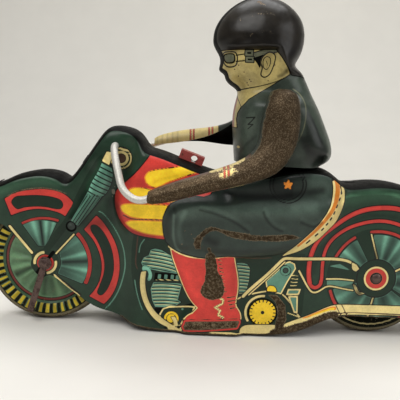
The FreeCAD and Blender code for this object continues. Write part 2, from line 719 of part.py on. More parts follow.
def front_stay():
    """A flat strip that hangs from the front axle outside the left half, its end turned inwards."""
    eye = rod(0, 0, stay_eye_radius, -stay_inner - stay_tin, -stay_inner)
    side = -stay_inner - stay_tin
    strip = Part.makeBox(stay_length, stay_tin, stay_width, Vector(0, side, -stay_width / 2))
    foot = Part.makeBox(stay_tin, stay_foot + stay_tin, stay_width,
                        Vector(stay_length - stay_tin, side, -stay_width / 2))
    stay = eye.fuse(strip).fuse(foot).removeSplitter()
    stay = stay.cut(rod(0, 0, axle_radius + running_fit, -20, 0))
    stay.rotate(Vector(0, 0, 0), Vector(0, 1, 0), -stay_turn)
    stay.translate(Vector(front_x, 0, axle_z))
    return stay


shoulder_x, shoulder_z, shoulder_rod_radius = 19.0, 101.0, 1.2
shoulder_left, shoulder_right = 25.6, 24.9     # the rod's ends, set into the arms

# ---- build ----

bar_hole = rod(bar_x, bar_z, bar_radius + 0.1, -30, 30)
axle_holes = rod(front_x, axle_z, axle_radius + 0.02, -30, 30).fuse(
    rod(rear_x, axle_z, axle_radius + 0.02, -30, 30))
arbor_hole = rod(great_x, great_z, great_arbor_radius + 0.5, 5, 30)
left_half = body_half()
right_half = mirrored(left_half)
left_half = left_half.cut(bar_hole).cut(axle_holes)
right_half = right_half.cut(bar_hole).cut(axle_holes).cut(arbor_hole)
save("body_shell_left", left_half)
save("body_shell_right", right_half)

shoulder_hole = rod(shoulder_x, shoulder_z, shoulder_rod_radius + 0.05, -30, 30)
rider_left = rider_half()
rider_right = mirrored(rider_left)
save("rider_shell_left", rider_left.cut(shoulder_hole))
save("rider_shell_right", rider_right.cut(shoulder_hole))
save("rider_web", rider_web())
save("arm_left", arm(left_arm_stations, left_arm_lean))
save("arm_right", mirrored(arm(right_arm_stations, right_arm_lean)))
save("shoulder_rod", rod(shoulder_x, shoulder_z, shoulder_rod_radius, -shoulder_left, shoulder_right))
save("handlebar", bent_rod(handlebar_route, bar_radius))
save("seam_tabs", *[seam_tab(station) for station in tab_stations])
save("tank_clip", tank_clip())

# name, axle place, half length of the hub, where the axle's left and right heads start
wheel_sets = [
    ("front", front_x, 9.7, stay_inner + stay_tin + 0.1, 10.75),
    ("rear", rear_x, 11.5, 12.75, 12.75)]
for name, x, half_hub, left_end, right_end in wheel_sets:
    save(name + "_wheel_left", spun_half(x, axle_z, wheel_profile, tin, -1))
    save(name + "_wheel_right", spun_half(x, axle_z, wheel_profile, tin, 1))
    save(name + "_hub", tube(x, axle_z, hub_radius, axle_radius + running_fit, -half_hub, half_hub))
    save(name + "_axle", headed_axle(x, axle_z, axle_radius, left_end, right_end))
save("front_stay", front_stay())

save("motor_plate_left", motor_plate(-1))
save("motor_plate_right", motor_plate(1))
save("plate_pillars", *[rod(x, z, pillar_radius, -plate_gap, plate_gap) for x, z in pillars])
save("mount_posts", *[mount_post(x, z, side) for x, z in mounts for side in (-1, 1)])
save("mainspring", mainspring())

great_phase = direction(great_at, second_at)
second_phase = direction(second_at, drive_at)
great_bore = great_arbor_radius + running_fit
save("great_wheel", gear(great_at, great_teeth, great_phase, great_bore, *great_y, wheel_tooth))
save("click", click())
save("click_rivet", rod(*click_point(click_radius, click_turn), click_rivet_radius,
                        great_y[1], ratchet_y[1] + 0.3))
save("winding_arbor", rod(*great_at, great_arbor_radius, -arbor_end, key_start + key_sleeve - key_cap))
save("ratchet_wheel", saw_wheel(great_at, 5.4, 4.5, 12, 0.1, great_arbor_radius, *ratchet_y))
save("winding_key", winding_key())

pinion_phase = meshing_phase(great_at, great_teeth, great_phase, second_at, second_pinion_teeth)
save("second_pinion", gear(second_at, second_pinion_teeth, pinion_phase, second_arbor_radius,
                           *second_pinion_y, pinion_tooth))
save("second_wheel", gear(second_at, second_teeth, second_phase, second_arbor_radius, *second_y,
                          wheel_tooth))
save("second_arbor", rod(*second_at, second_arbor_radius, -arbor_end, arbor_end))

pinion_phase = meshing_phase(second_at, second_teeth, second_phase, governor_at, governor_pinion_teeth)
save("governor_pinion", gear(governor_at, governor_pinion_teeth, pinion_phase, governor_arbor_radius,
                             *pinion_y, pinion_tooth))
save("star_wheel", saw_wheel(governor_at, 6.0, 4.7, 12, 0.0, governor_arbor_radius, *star_y))
save("governor_arbor", rod(*governor_at, governor_arbor_radius, -arbor_end, arbor_end))
save("verge", verge_plate())
save("verge_staff", rod(*verge_at, governor_arbor_radius, -arbor_end, arbor_end))

pinion_phase = meshing_phase(second_at, second_teeth, second_phase, drive_at, drive_pinion_teeth)
save("drive_pinion", gear(drive_at, drive_pinion_teeth, pinion_phase, drive_axle_radius, *pinion_y,
                          pinion_tooth))
drive_wheel_left = drive_wheel()
save("drive_wheel_left", drive_wheel_left)
save("drive_wheel_right", mirrored(drive_wheel_left))
drive_axle_end = drive_wheel_side + drive_wheel_width + 0.5
save("drive_axle", rod(*drive_at, drive_axle_radius, -drive_axle_end, drive_axle_end))
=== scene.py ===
import json
import math
import bpy
import bmesh
import numpy as np
from mathutils import Matrix, Vector


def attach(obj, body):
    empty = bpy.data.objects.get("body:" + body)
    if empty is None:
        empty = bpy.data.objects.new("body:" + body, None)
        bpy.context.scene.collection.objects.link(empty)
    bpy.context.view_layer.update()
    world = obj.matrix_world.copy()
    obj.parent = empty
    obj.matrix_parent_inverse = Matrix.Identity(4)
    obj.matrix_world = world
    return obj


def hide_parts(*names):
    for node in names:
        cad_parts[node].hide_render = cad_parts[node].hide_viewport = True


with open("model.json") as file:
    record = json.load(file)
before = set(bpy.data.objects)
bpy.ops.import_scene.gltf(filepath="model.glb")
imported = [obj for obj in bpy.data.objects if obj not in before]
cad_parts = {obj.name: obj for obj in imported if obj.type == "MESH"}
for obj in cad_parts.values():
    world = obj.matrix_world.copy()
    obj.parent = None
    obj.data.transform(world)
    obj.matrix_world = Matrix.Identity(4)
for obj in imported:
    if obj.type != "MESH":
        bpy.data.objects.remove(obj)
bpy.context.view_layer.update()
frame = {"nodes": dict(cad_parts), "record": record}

# Wind-up tin motorcycle with a rider. Sizes are in millimetres up to makeMesh, which turns them into metres.
# The front of the toy is -X, its left side is -Y, and the wheels stand on z = 0.

mm = 0.001
tin = 0.45
frontHub, rearHub = (-80, 28), (66, 28)


# ---- curves and distances ----

def smooth(t):
    t = np.clip(t, 0.0, 1.0)
    return t * t * (3 - 2 * t)


# Smooth value at x from a short list of (x, value).
def along(table, x):
    at = np.array([row[0] for row in table], dtype=float)
    value = np.array([row[1] for row in table], dtype=float)
    x = np.clip(x, at[0], at[-1])
    i = np.clip(np.searchsorted(at, x) - 1, 0, len(at) - 2)
    return value[i] + (value[i + 1] - value[i]) * smooth((x - at[i]) / (at[i + 1] - at[i]))


# Points along a smooth curve: each span is a cubic between two given points, and the slopes at the
# points solve m[i-1] + 4 m[i] + m[i+1] = 3 (p[i+1] - p[i-1]), so that the curvature has no steps.
def curve(points, steps):
    p = np.array(points, dtype=float)
    count = len(p)
    matrix = np.eye(count)
    right = np.zeros_like(p)
    if count > 3:
        right[0] = (-11 * p[0] + 18 * p[1] - 9 * p[2] + 2 * p[3]) / 6
        right[-1] = (11 * p[-1] - 18 * p[-2] + 9 * p[-3] - 2 * p[-4]) / 6
    else:
        right[0], right[-1] = p[1] - p[0], p[-1] - p[-2]
    for i in range(1, count - 1):
        matrix[i, i - 1:i + 2] = (1, 4, 1)
        right[i] = 3 * (p[i + 1] - p[i - 1])
    slopes = np.linalg.solve(matrix, right)
    return hermite(p[:-1], p[1:], slopes[:-1], slopes[1:], steps, p[-1:])


# The same through a closed ring of points, each slope half the step between the neighbours.
def ring(points, steps):
    p = np.array(points, dtype=float)
    slopes = (np.roll(p, -1, axis=0) - np.roll(p, 1, axis=0)) / 2
    return hermite(p, np.roll(p, -1, axis=0), slopes, np.roll(slopes, -1, axis=0), steps, p[:1])


# Cubic spans from a to b with slopes ma and mb, steps points in each, then the closing points.
def hermite(a, b, ma, mb, steps, closing):
    t = (np.arange(steps) / steps)[None, :, None]
    a, b, ma, mb = (v[:, None, :] for v in (a, b, ma, mb))
    spans = ((2 * t ** 3 - 3 * t ** 2 + 1) * a + (t ** 3 - 2 * t ** 2 + t) * ma
             + (3 * t ** 2 - 2 * t ** 3) * b + (t ** 3 - t ** 2) * mb)
    return np.concatenate([spans.reshape(-1, a.shape[-1]), closing])


# Half the width of a stroke less the distance to its centre line: positive on the stroke.
# The width goes evenly from the first value to the last along the line.
def strokeField(x, z, line, firstWidth, lastWidth):
    best = np.full(x.shape, -1e3)
    spans = len(line) - 1
    for k in range(spans):
        (ax, az), (bx, bz) = line[k], line[k + 1]
        dx, dz = bx - ax, bz - az
        t = np.clip(((x - ax) * dx + (z - az) * dz) / max(dx * dx + dz * dz, 1e-9), 0.0, 1.0)
        width = firstWidth + (lastWidth - firstWidth) * (k + t) / spans
        best = np.maximum(best, width / 2 - np.hypot(x - ax - t * dx, z - az - t * dz))
    return best


def lineDistance(x, z, line):
    return -strokeField(x, z, line, 0.0, 0.0)


# Distance to a closed outline, positive inside: a point is inside where a ray to +X crosses it oddly.
def insideDistance(x, z, outline):
    inside = np.zeros(x.shape, dtype=bool)
    closed = list(outline) + [outline[0]]
    for (ax, az), (bx, bz) in zip(closed, closed[1:]):
        if az != bz:
            crosses = (az > z) != (bz > z)
            inside ^= crosses & (x < ax + (z - az) * (bx - ax) / (bz - az))
    distance = lineDistance(x, z, closed)
    return np.where(inside, distance, -distance)


def around(centre, radius, first, last, count):
    angles = np.radians(np.linspace(first, last, count))
    return [(centre[0] + radius * math.cos(a), centre[1] + radius * math.sin(a)) for a in angles]


# Share of the full depth at a distance in from the seam: 0 at the seam, 1 past the rounded corner.
def corner(distance, radius, power):
    t = np.clip(distance / radius, 0.0, 1.0)
    return (1 - (1 - t) ** power) ** (1 / power)


# Weights of the poles of a clamped cubic B-spline with even knots at parameters t.
def splineBasis(poles, t):
    spans = poles - 3
    knots = np.concatenate([np.zeros(3), np.arange(spans + 1), np.full(3, spans)]).astype(float)
    t = np.clip(t, 0.0, spans - 1e-9)[:, None]
    basis = ((knots[:-1] <= t) & (t < knots[1:])).astype(float)
    for degree in (1, 2, 3):
        low, high = knots[:-degree - 1], knots[degree + 1:]
        rise = knots[degree:-1] - low
        fall = high - knots[1:-degree]
        up = np.where(rise > 0, (t - low) / np.where(rise > 0, rise, 1), 0)
        down = np.where(fall > 0, (high - t) / np.where(fall > 0, fall, 1), 0)
        basis = up * basis[:, :-1] + down * basis[:, 1:]
    return basis


# Parameters that spread samples evenly over a cost given for each step between poles.
def spread(costs, samples, spans):
    total = np.concatenate([[0.0], np.cumsum(costs)])
    at = np.linspace(0.0, total[-1], samples)
    return np.interp(at, total, np.linspace(0.0, spans, len(total)))


def splineSurface(poles, u, v):
    one, other = splineBasis(poles.shape[0], u), splineBasis(poles.shape[1], v)
    return np.einsum("ia,abc,jb->ijc", one, poles, other, optimize=True)


# The left half as it is, or its mirror image for the right side.
def mirrored(points, sign):
    return points * (1, -1, 1) if sign > 0 else points


# ---- meshes ----

def gridNormals(grid, wraps):
    if wraps:
        u = np.roll(grid, -1, axis=0) - np.roll(grid, 1, axis=0)
    else:
        u = np.gradient(grid, axis=0)
    v = np.gradient(grid, axis=1)
    n = np.cross(u, v)
    size = np.linalg.norm(n, axis=2, keepdims=True)
    return n / np.where(size > 1e-9, size, 1.0)


# Vertex numbers of a grid, counted from start. A grid that wraps gets its first row or column once more.
def gridNumbers(rows, columns, start=0, wrapRows=False, wrapColumns=False):
    number = start + np.arange(rows * columns).reshape(rows, columns)
    if wrapRows:
        number = np.concatenate([number, number[:1]])
    if wrapColumns:
        number = np.concatenate([number, number[:, :1]], axis=1)
    return number


# The quads between neighbouring rows and columns of vertex numbers.
def quads(number):
    corners = [number[:-1, :-1], number[1:, :-1], number[1:, 1:], number[:-1, 1:]]
    return np.stack(corners, axis=2).reshape(-1, 4)


# The faces of a rim: each runs along some steps of the outer edge and back along one of the inner edge.
def rimFaces(outerLine, innerLine, step, forward):
    faces = []
    for k in range(len(innerLine) - 1):
        far = outerLine[k * step:(k + 1) * step + 1]
        near = innerLine[k:k + 2]
        faces.append(np.concatenate([far, near[::-1]] if forward else [far[::-1], near]))
    return np.array(faces)


# One mesh from lists of polygons, each list with its own polygon size and with smooth or flat shading.
# Edges along the sharp lines, given as vertex numbers, are marked sharp.
def makeMesh(name, points, polygonLists, smoothLists, sharpLines=()):
    mesh = bpy.data.meshes.new(name)
    mesh.vertices.add(len(points))
    mesh.vertices.foreach_set("co", (points * mm).astype(np.float32).ravel())
    sizes = np.concatenate([np.full(len(p), p.shape[1]) for p in polygonLists])
    loops = np.concatenate([p.ravel() for p in polygonLists])
    mesh.loops.add(len(loops))
    mesh.loops.foreach_set("vertex_index", loops.astype(np.int32))
    mesh.polygons.add(len(sizes))
    mesh.polygons.foreach_set("loop_start", np.concatenate([[0], np.cumsum(sizes)[:-1]]).astype(np.int32))
    flags = np.concatenate([np.full(len(p), s) for p, s in zip(polygonLists, smoothLists)])
    mesh.polygons.foreach_set("use_smooth", flags)
    mesh.update(calc_edges=True)
    mesh.validate()
    if len(sharpLines):
        ends = np.empty(len(mesh.edges) * 2, dtype=np.int32)
        mesh.edges.foreach_get("vertices", ends)
        ends = ends.reshape(-1, 2)
        sharp = np.zeros(len(mesh.edges), dtype=bool)
        for line in sharpLines:
            belongs = np.zeros(len(points), dtype=bool)
            belongs[line] = True
            sharp |= belongs[ends].all(axis=1)
        mesh.attributes.new("sharp_edge", "BOOLEAN", "EDGE").data.foreach_set("value", sharp)
    obj = bpy.data.objects.new(name, mesh)
    bpy.context.scene.collection.objects.link(obj)
    return obj


# A closed sheet: the outer grid, an inner skin offset by the thickness on every step-th point, and rims.
# The first or last line of points named in seam keeps its offset in the plane y = 0, and the crown goes down.
def closedSheet(name, outer, thickness, step, wraps=False, seam=()):
    rows, columns = outer.shape[:2]
    normals = gridNormals(outer, wraps)
    middle = outer[rows // 2, columns // 2]
    turned = normals[rows // 2, columns // 2, 1] * middle[1] < 0
    offset = normals * (thickness if turned else -thickness)
    for j, label in ((0, "first"), (columns - 1, "last")):
        if label in seam:
            flat = offset[:, j] * (1, 0, 1)
            size = np.linalg.norm(flat, axis=1, keepdims=True)
            level = flat / np.where(size > 1e-6, size, 1) * thickness
            offset[:, j] = np.where(size > 1e-6, level, offset[:, j])
    if "crown" in seam:
        offset[-1] = (0, 0, -thickness)
    inner = (outer + offset)[::step, ::step]
    start = rows * columns
    outerNumber = gridNumbers(rows, columns, 0, wraps)
    innerNumber = gridNumbers(*inner.shape[:2], start, wraps)
    rims = [rimFaces(outerNumber[:, 0], innerNumber[:, 0], step, False),
            rimFaces(outerNumber[:, -1], innerNumber[:, -1], step, True)]
    edges = [outerNumber[:, 0], outerNumber[:, -1], innerNumber[:, 0], innerNumber[:, -1]]
    if not wraps:
        rims += [rimFaces(outerNumber[0], innerNumber[0], step, True),
                 rimFaces(outerNumber[-1], innerNumber[-1], step, False)]
        edges += [outerNumber[0], outerNumber[-1], innerNumber[0], innerNumber[-1]]
    polygons = [quads(outerNumber), quads(innerNumber)[:, ::-1]] + rims
    if turned:
        polygons = [p[:, ::-1] for p in polygons]
    points = np.concatenate([outer.reshape(-1, 3), inner.reshape(-1, 3)])
    obj = makeMesh(name, points, polygons, [True, True] + [False] * len(rims), edges)
    inside = np.zeros(len(points))
    inside[start:] = 1.0
    store(obj, "inside", inside, 0.0)
    return obj


# Writes a value for each point; points past the end of the list get the filler.
def store(obj, name, values, filler):
    full = np.full(len(obj.data.vertices), filler, dtype=np.float32)
    full[:values.size] = values.ravel()
    obj.data.attributes.new(name, "FLOAT", "POINT").data.foreach_set("value", full)


# A closed tube along a path of points, with rings carried along without twist and rounded ends.
def tubeMesh(name, path, radius, sides):
    path = np.array(path, dtype=float)
    tangents = np.gradient(path, axis=0)
    tangents /= np.linalg.norm(tangents, axis=1, keepdims=True)
    across = np.cross(tangents[0], (0.3, 0.9, 0.2))
    rings = []
    turn = np.linspace(0, 2 * math.pi, sides, endpoint=False)
    # each ring of a cap: how far past the end it lies and how wide it is, as shares of the radius
    caps = [(0.98, 0), (0.92, 0.3), (0.7, 0.7), (0.3, 0.95)]
    stations = [(0, -radius * a, b) for a, b in caps]
    stations += [(i, 0.0, 1.0) for i in range(len(path))]
    stations += [(len(path) - 1, radius * a, b) for a, b in caps[::-1]]
    for i, ahead, share in stations:
        across = across - tangents[i] * across.dot(tangents[i])
        across /= np.linalg.norm(across)
        other = np.cross(tangents[i], across)
        centre = path[i] + tangents[i] * ahead
        circle = np.cos(turn)[:, None] * across + np.sin(turn)[:, None] * other
        rings.append(centre + radius * share * circle)
    wall = quads(gridNumbers(len(rings), sides, wrapColumns=True))[:, [0, 3, 2, 1]]
    ends = np.array([np.arange(sides)[::-1], (len(rings) - 1) * sides + np.arange(sides)])
    return makeMesh(name, np.concatenate(rings), [wall, ends], [True, True])


# ---- printing ----
# Each ink has a plate: a value in millimetres at each point, positive where the ink lies. An ink covers
# those before it in this order. Painting takes the new shape off the plates that would cover it, but for
# a narrow overlap, so that no dark seam shows between two inks.

inkOrder = ["line", "deep", "slate", "teal", "cream", "yellow", "orange", "red", "brown", "black"]
overlap = 0.08
# Fields are cut off at this distance from an edge.
farOff = 4.0
# The light on a well's fan: at the hub, its rise to the rim, and the strength of a ray.
fanLight = {"hub": 0.26, "rise": 0.42, "ray": 1.35}


def cutOff(field):
    return np.clip(field, -farOff, farOff)


class Print:
    def __init__(self, x, z):
        self.x, self.z = x, z
        self.plates = {ink: self.blank() for ink in inkOrder}
        # gain scales the colour: printed tones, and painted highlights and painted shade where the parts
        # below say so
        self.gain = np.ones(x.shape)
        self.wear = np.zeros(x.shape)
        self.hatch, self.phase = self.blank(), np.zeros(x.shape)

    def blank(self):
        return np.full(self.x.shape, -farOff)

    # Which points lie within reach of the box round a line.
    def near(self, line, reach):
        low, high = np.min(line, axis=0) - reach, np.max(line, axis=0) + reach
        return (self.x > low[0]) & (self.x < high[0]) & (self.z > low[1]) & (self.z < high[1])

    # Distance from a centre and the angle about it, 0 towards +X.
    def about(self, centre):
        dx, dz = self.x - centre[0], self.z - centre[1]
        return np.hypot(dx, dz), np.arctan2(dz, dx)

    # A line through three points or more is smooth unless steps is 0.
    def stroke(self, points, width, lastWidth=None, steps=4):
        line = curve(points, steps) if steps and len(points) > 2 else np.array(points)
        field = self.blank()
        here = self.near(line, farOff)
        last = width if lastWidth is None else lastWidth
        field[here] = np.maximum(strokeField(self.x[here], self.z[here], line, width, last), -farOff)
        return field

    # A closed shape, smooth unless steps is 0.
    def outline(self, points, steps=4):
        shape = ring(points, steps) if steps else np.array(points)
        field = self.blank()
        here = self.near(shape, farOff)
        field[here] = insideDistance(self.x[here], self.z[here], [tuple(p) for p in shape])
        return cutOff(field)

    # A shape whose sides are smooth curves that meet at sharp corners.
    def sided(self, *sides):
        lines = [curve(side, 4) if len(side) > 2 else np.array(side) for side in sides]
        return self.outline(np.concatenate(lines), 0)

    def disc(self, centre, radius):
        return cutOff(radius - np.hypot(self.x - centre[0], self.z - centre[1]))

    def circle(self, centre, radius, width):
        return width / 2 - np.abs(np.hypot(self.x - centre[0], self.z - centre[1]) - radius)

    # A band between two radii and two angles in degrees, with its corners rounded.
    def band(self, centre, inner, outer, first, last, rounding=0.3):
        r, turn = self.about(centre)
        off = (np.degrees(turn) - (first + last) / 2 + 180) % 360 - 180
        halfLength = np.radians(abs(last - first)) / 2 * r
        a = np.abs(np.radians(off) * r) - (halfLength - rounding)
        b = np.abs(r - (inner + outer) / 2) - ((outer - inner) / 2 - rounding)
        field = rounding - np.hypot(np.maximum(a, 0), np.maximum(b, 0)) - np.minimum(np.maximum(a, b), 0)
        return cutOff(field)

    # "base" is no ink of its own: it takes the shape off all plates, so that the base colour shows.
    def paint(self, ink, field):
        covering = inkOrder if ink == "base" else inkOrder[inkOrder.index(ink) + 1:]
        for upper in covering:
            self.plates[upper] = np.minimum(self.plates[upper], overlap - field)
        self.hatch = np.minimum(self.hatch, -field)
        if ink != "base":
            self.plates[ink] = np.maximum(self.plates[ink], field)

    # The shape in one ink with a thin line of another round it.
    def edged(self, ink, field, width=0.35, line="line"):
        self.paint(line, field + width)
        self.paint(ink, field)

    # Discs on one centre, the largest first, each as its radius and ink.
    def target(self, centre, *rings):
        for radius, ink in rings:
            self.paint(ink, self.disc(centre, radius))

    # Straight cream strips, each between two places given about a hub, with its width.
    def strips(self, hub, edge, *ends):
        for first, last, width in ends:
            self.edged("cream", self.stroke(polar(hub, first, last), width), edge)

    # Fine lines over a field, one for each whole step of the phase.
    def lines(self, field, phase):
        self.phase = np.where(field > -0.8, phase, self.phase)
        self.hatch = np.maximum(self.hatch, field)

    # A well in green, darker towards the hub, with rays given as degrees, half width and amount.
    def fan(self, hub, field, inner, outer, rays):
        self.edged("teal", field)
        r, turn = self.about(hub)
        light = fanLight["hub"] + fanLight["rise"] * smooth((r - inner) / (outer - inner))
        for at, width, amount in rays:
            off = (np.degrees(turn) - at + 180) % 360 - 180
            light = light * (1 + fanLight["ray"] * amount * np.exp(-(off / width) ** 2))
        self.gain *= 1 + (light - 1) * smooth(field / 0.4 + 0.5)

    # Which points a line can reach, and how near each of them is to it, from 0 to 1.
    def nearness(self, points, reach):
        line = [tuple(p) for p in (curve(points, 3) if len(points) > 2 else points)]
        if len(line) == 1:
            line = line * 2
        here = self.near(line, reach)
        return here, smooth(1 - lineDistance(self.x[here], self.z[here], line) / reach)

    # Lighter or darker towards a line, softly, over a reach.
    def glow(self, points, reach, amount):
        here, share = self.nearness(points, reach)
        self.gain[here] *= 1 + amount * share

    # The same inside a field only.
    def shade(self, field, reach, amount):
        self.gain *= 1 + amount * smooth(field / reach + 0.5)

    # An even tone inside a field, whatever lies under it.
    def level(self, field, tone):
        self.gain += (tone - self.gain) * smooth(field / 0.5 + 0.5)

    # Worn along a line.
    def rub(self, points, reach, amount):
        here, share = self.nearness(points, reach)
        self.wear[here] = np.maximum(self.wear[here], amount * share)

    # Worn inside a field: reach is how soft its edge is, and shift how far out it starts.
    def rubInside(self, field, reach, amount, shift):
        self.wear = np.maximum(self.wear, amount * smooth(field / reach + shift))

    def putOn(self, obj):
        for ink in inkOrder:
            store(obj, ink, self.plates[ink], -farOff)
        store(obj, "hatch", self.hatch, -farOff)
        store(obj, "phase", self.phase, 0.0)
        store(obj, "gain", self.gain, 1.0)
        store(obj, "wear", self.wear, 0.0)


# ---- body halves ----
# Each rib pairs a point on the top seam with a point on the open lower edge.

body = {
    "corner": 3.4, "cornerPower": 2.3, "steps": 5, "cornerRows": 10, "faceRows": 34,
    "ribs": 597, "rows": 149, "liningStep": 4,
    # how densely samples lie: along the length, round the corner, and down the face from its top
    "lengthCost": [(-52, 0.75), (-40, 1.3), (62, 1.3), (74, 0.8)], "cornerCost": 0.6, "topCost": 0.75,
    "costRise": 0.45, "riseAt": 0.3,
    "topSeam": [(-105.9, 43.6), (-107.4, 45), (-107.7, 49.6)] + around(frontHub, 40.6, 130, 92, 5) + [
        (-75, 67.3), (-71.8, 65.6), (-69.3, 67.2), (-66.3, 71.2), (-62.5, 77), (-58.8, 82.6),
        (-55.7, 86.9), (-52.1, 89.2), (-47, 89.3), (-41.8, 87.6), (-38.4, 84.3), (-36.2, 81.2),
        (-33.4, 79.9), (-29.3, 78.8), (-22.5, 76.4), (-13.3, 73.2), (-5, 70.9), (3, 70.2),
        (12, 71.7), (24, 74.4), (33, 75.4), (39.6, 74.8), (43.6, 73.2), (46.8, 70.9),
        (49.6, 69.2), (53.5, 68.8), (59, 69.5)] + around(rearHub, 42.0, 90, -17, 12),
    "lowerEdge": [
        (-105.2, 44), (-104.6, 44.2), (-103.6, 44.4), (-102.4, 44.5), (-101.1, 44.5), (-99.8, 44.4),
        (-98.4, 43.9), (-93.8, 39.9), (-86.4, 31.6), (-86.6, 27.4), (-84, 22.9), (-80.4, 21.6),
        (-77, 22.3), (-71.2, 18.2), (-65.6, 14.1), (-60.5, 10.6), (-55.4, 8.2), (-50, 6.8),
        (-45.8, 5.6), (-42.4, 4.2), (-38.6, 2.9), (-33, 1.7), (-25.5, 1.2), (-16, 1), (-7, 1),
        (2, 1), (11, 1.1), (20, 1.3), (27.5, 2.2), (33, 3.8), (37.5, 5.6), (41.5, 7.4),
        (45.5, 8.9), (50, 9.8), (56, 10.2), (63, 10.2), (70, 10.2), (77, 10.2), (83, 10.2),
        (88, 10.2), (92.4, 10.3), (96.2, 10.5), (99.3, 10.8), (101.7, 11.2), (103.3, 11.7),
        (104.4, 12.4), (105, 13.2)],
    "faceDepth": [(-108, 8.6), (-92, 10.4), (-50, 10.8), (-39, 16), (34, 16), (60, 12.6), (92, 12.4),
                  (108, 10.8)],
    # outline, depth, width of the slope round it
    "forms": [
        ([(-60.5, 75), (-57.5, 82), (-53.5, 86), (-46, 87), (-40, 84), (-37, 78), (-43.5, 68), (-52, 62),
          (-56.5, 68)], 12.0, 6.0),
        ([(-68.6, 48), (-65.6, 44.8), (-54.6, 60), (-50.4, 69.5), (-55.6, 73), (-60, 63)], 12.6, 3.6),
        ([(-37.5, 84), (-44.5, 67), (-48.8, 58), (-47.4, 50.5), (-42.2, 45.2), (-33.4, 42.8), (-20, 42.5),
          (-4, 60), (-4, 84)], 17.2, 6.5),
        ([(0, 60.8), (20, 59.8), (40, 61.5), (47, 66.4), (46, 80), (-2, 80)], 18.4, 6.0),
        ([(-27.2, 53), (-26.6, 57), (-22.5, 60.6), (-14, 61.4), (20, 60.4), (40, 62.5), (47.2, 66),
          (44.8, 54), (38.5, 46.2), (30, 40.6), (8, 36.6), (-9.5, 34.6), (-20, 36.6), (-25.5, 42.5)],
         20.4, 6.0),
        ([(-24.2, 39), (-21, 28), (-15.4, 16.6), (-12.4, 12.4), (-18.4, 7.6), (-19.4, 3.4), (-18, 0), (7, 0),
          (7.6, 6), (7, 10), (4.9, 15), (5.8, 20), (4.6, 28), (2.4, 37), (-10, 40)], 18.2, 3.6)],
    # the open part of the top seam: middle, half its length, half its width, and the run out at its ends
    "slot": (22.0, 4.5, 0.45, 2.5),
    # print along the seam, and wear along the lower edge from one of its points on
    "seamInk": 2.1, "wornFrom": 18, "edgeWear": 0.85, "edgeReach": 1.1,
}


def bodyDepth(x, z):
    depth = along(body["faceDepth"], x)
    for outline, level, slope in body["forms"]:
        depth = depth + (level - depth) * smooth(insideDistance(x, z, outline) / slope + 0.5)
    return depth


# The left half as a surface: poles on the ribs, close together round the seam's corner.
def bodySurface():
    seam = curve(body["topSeam"], body["steps"])
    edge = curve(body["lowerEdge"], body["steps"])
    length = np.hypot(*(edge - seam).T)[:, None]
    reach = np.minimum(body["corner"], 0.45 * length)
    quarter = np.radians(90 * np.arange(body["cornerRows"]) / body["cornerRows"])
    nearShares = reach * (1 - np.cos(quarter) ** (2 / body["cornerPower"]))
    farShares = reach + (length - reach) * np.arange(body["faceRows"] + 1) / body["faceRows"]
    share = np.concatenate([nearShares, farShares], axis=1) / length
    x = seam[:, :1] + (edge - seam)[:, :1] * share
    z = seam[:, 1:] + (edge - seam)[:, 1:] * share
    inset = lineDistance(x, z, seam)
    inset[:, 0] = 0.0
    depth = bodyDepth(x, z) * corner(inset, body["corner"], body["cornerPower"])
    slotX, halfLength, halfWidth, runOut = body["slot"]
    opening = halfWidth * smooth((halfLength + runOut - np.abs(x - slotX)) / runOut) * (z > frontHub[1])
    poles = np.stack([x, -np.maximum(depth, opening), z], axis=2)

    # Samples are closest over the engine, where the print is finest.
    steps = np.maximum(np.hypot(*np.diff(seam, axis=0).T), np.hypot(*np.diff(edge, axis=0).T))
    middle = (seam[:-1, 0] + edge[:-1, 0]) / 2
    u = spread(steps * along(body["lengthCost"], middle), body["ribs"], poles.shape[0] - 3)
    rib = poles[len(poles) // 2]
    down = np.linalg.norm(np.diff(rib, axis=0), axis=1)
    row = np.arange(len(down))
    rise = body["costRise"] * smooth((row / len(down) - body["riseAt"]) / body["riseAt"])
    cost = np.where(row < body["cornerRows"], body["cornerCost"], body["topCost"] + rise)
    v = spread(down * cost, body["rows"], poles.shape[1] - 3)
    return splineSurface(poles, u, v), seam


# ---- the print on a body half ----
# Places are in the side view: (x, z), or (radius, degrees) about a hub.

def polar(centre, *places):
    return [(centre[0] + r * math.cos(math.radians(a)), centre[1] + r * math.sin(math.radians(a)))
            for r, a in places]


